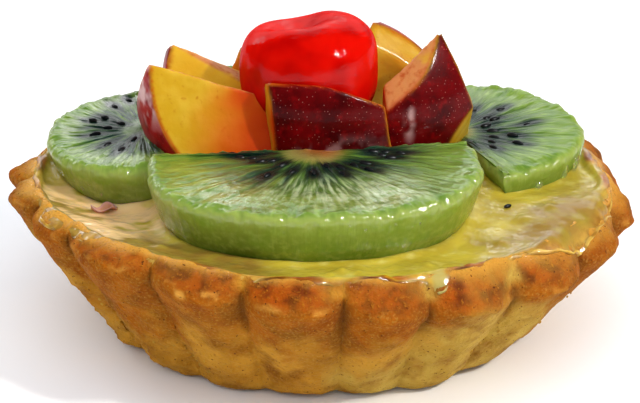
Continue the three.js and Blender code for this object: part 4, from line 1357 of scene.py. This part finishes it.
FLOOR_HALF, FLOOR_BACK = 3.0, 2.0  # metres to each side and behind the tart, out of the camera's sight
CAMERA_RISE = math.radians(22.5)
CAMERA_DISTANCE = 450
CAMERA_TARGET = Vector((0, 0, 21))
AIM_BELOW, AIM_LEFT = 2.19, 0.32  # how far off the target the camera aims
LENS, SENSOR_WIDTH = 155.8, 36
NEAREST_SEEN = 0.01


def make_floor():
    """Pale paper under the tart."""
    finish, tree, place = new_finish("pale_paper")
    surface(tree, {"Base Color": mottle(tree, "#f8faff", "#f4f7fd", place, 60, 0.4, 0.6), "Roughness": 0.9})
    mesh = bpy.data.meshes.new("floor")
    front = [(-FLOOR_HALF, -FLOOR_HALF, 0), (FLOOR_HALF, -FLOOR_HALF, 0)]
    mesh.from_pydata(front + [(FLOOR_HALF, FLOOR_BACK, 0), (-FLOOR_HALF, FLOOR_BACK, 0)], [], [(0, 1, 2, 3)])
    mesh.materials.append(finish)
    floor = bpy.data.objects.new("floor", mesh)
    bpy.context.scene.collection.objects.link(floor)


def make_light(name, place, aim, size, power, colour, in_gloss=True, lights_up=True):
    """A soft panel of light, in millimetres, that looks at a point on the tart."""
    lamp = bpy.data.lights.new(name, "AREA")
    lamp.shape = "RECTANGLE"
    lamp.size, lamp.size_y = size[0] * MM, size[1] * MM
    lamp.energy = power
    lamp.color = srgb(colour)[:3]
    light = bpy.data.objects.new(name, lamp)
    light.location = Vector(place) * MM
    light.rotation_euler = (Vector(aim) - Vector(place)).to_track_quat("-Z", "Y").to_euler()
    light.visible_glossy = in_gloss
    light.visible_diffuse = lights_up
    bpy.context.scene.collection.objects.link(light)


def make_camera():
    """A long lens that looks down on the tart from the front."""
    back = Vector((0, -math.cos(CAMERA_RISE), math.sin(CAMERA_RISE)))
    up = Vector((0, math.sin(CAMERA_RISE), math.cos(CAMERA_RISE)))
    camera = bpy.data.objects.new("camera", bpy.data.cameras.new("camera"))
    camera.data.lens = LENS
    camera.data.sensor_width = SENSOR_WIDTH
    camera.data.clip_start = NEAREST_SEEN
    place = CAMERA_TARGET + back * CAMERA_DISTANCE
    aim = CAMERA_TARGET - up * AIM_BELOW - Vector((AIM_LEFT, 0, 0))
    camera.location = place * MM
    camera.rotation_euler = (aim - place).to_track_quat("-Z", "Y").to_euler()
    bpy.context.scene.collection.objects.link(camera)
    bpy.context.scene.camera = camera


def make_studio():
    """Soft light from all round, with a window behind and a lamp at the right."""
    world = bpy.data.worlds.new("studio")
    world.use_nodes = True
    sky = world.node_tree.nodes["Background"]
    sky.inputs["Color"].default_value = srgb("#fbfbfb")
    sky.inputs["Strength"].default_value = 0.62
    world.cycles_visibility.glossy = False
    bpy.context.scene.world = world
    bpy.context.scene.view_settings.view_transform = "Standard"

    # Lights without gloss light the tart up only, and those that don't light it up only shine in it.
    make_light("soft_top", (-190, -630, 860), (0, 0, 20), (1200, 1200), 6.3, "#ffffff", in_gloss=False)
    make_light("window_behind", (-60, 760, 400), (0, 0, 25), (1400, 560), 2.6, "#ffffff")
    make_light("pale_sky", (-60, 770, 404), (0, 0, 25), (1400, 560), 1.3, "#ffffff", lights_up=False)
    make_light("bright_pane", (12, 740, 362), (0, 0, 25), (150, 120), 0.18, "#ffffff")
    make_light("skylight", (-500, 560, 430), (0, 0, 25), (260, 260), 0.8, "#ffffff")
    make_light("lamp_right", (441, -280, 487), (0, 0, 30), (45, 60), 3.0, "#fff6e8", in_gloss=False)
    make_light("lamp_gleam", (441, -280, 487), (0, 0, 30), (130, 170), 11.0, "#ffffff", lights_up=False)


make_floor()
make_camera()
make_studio()
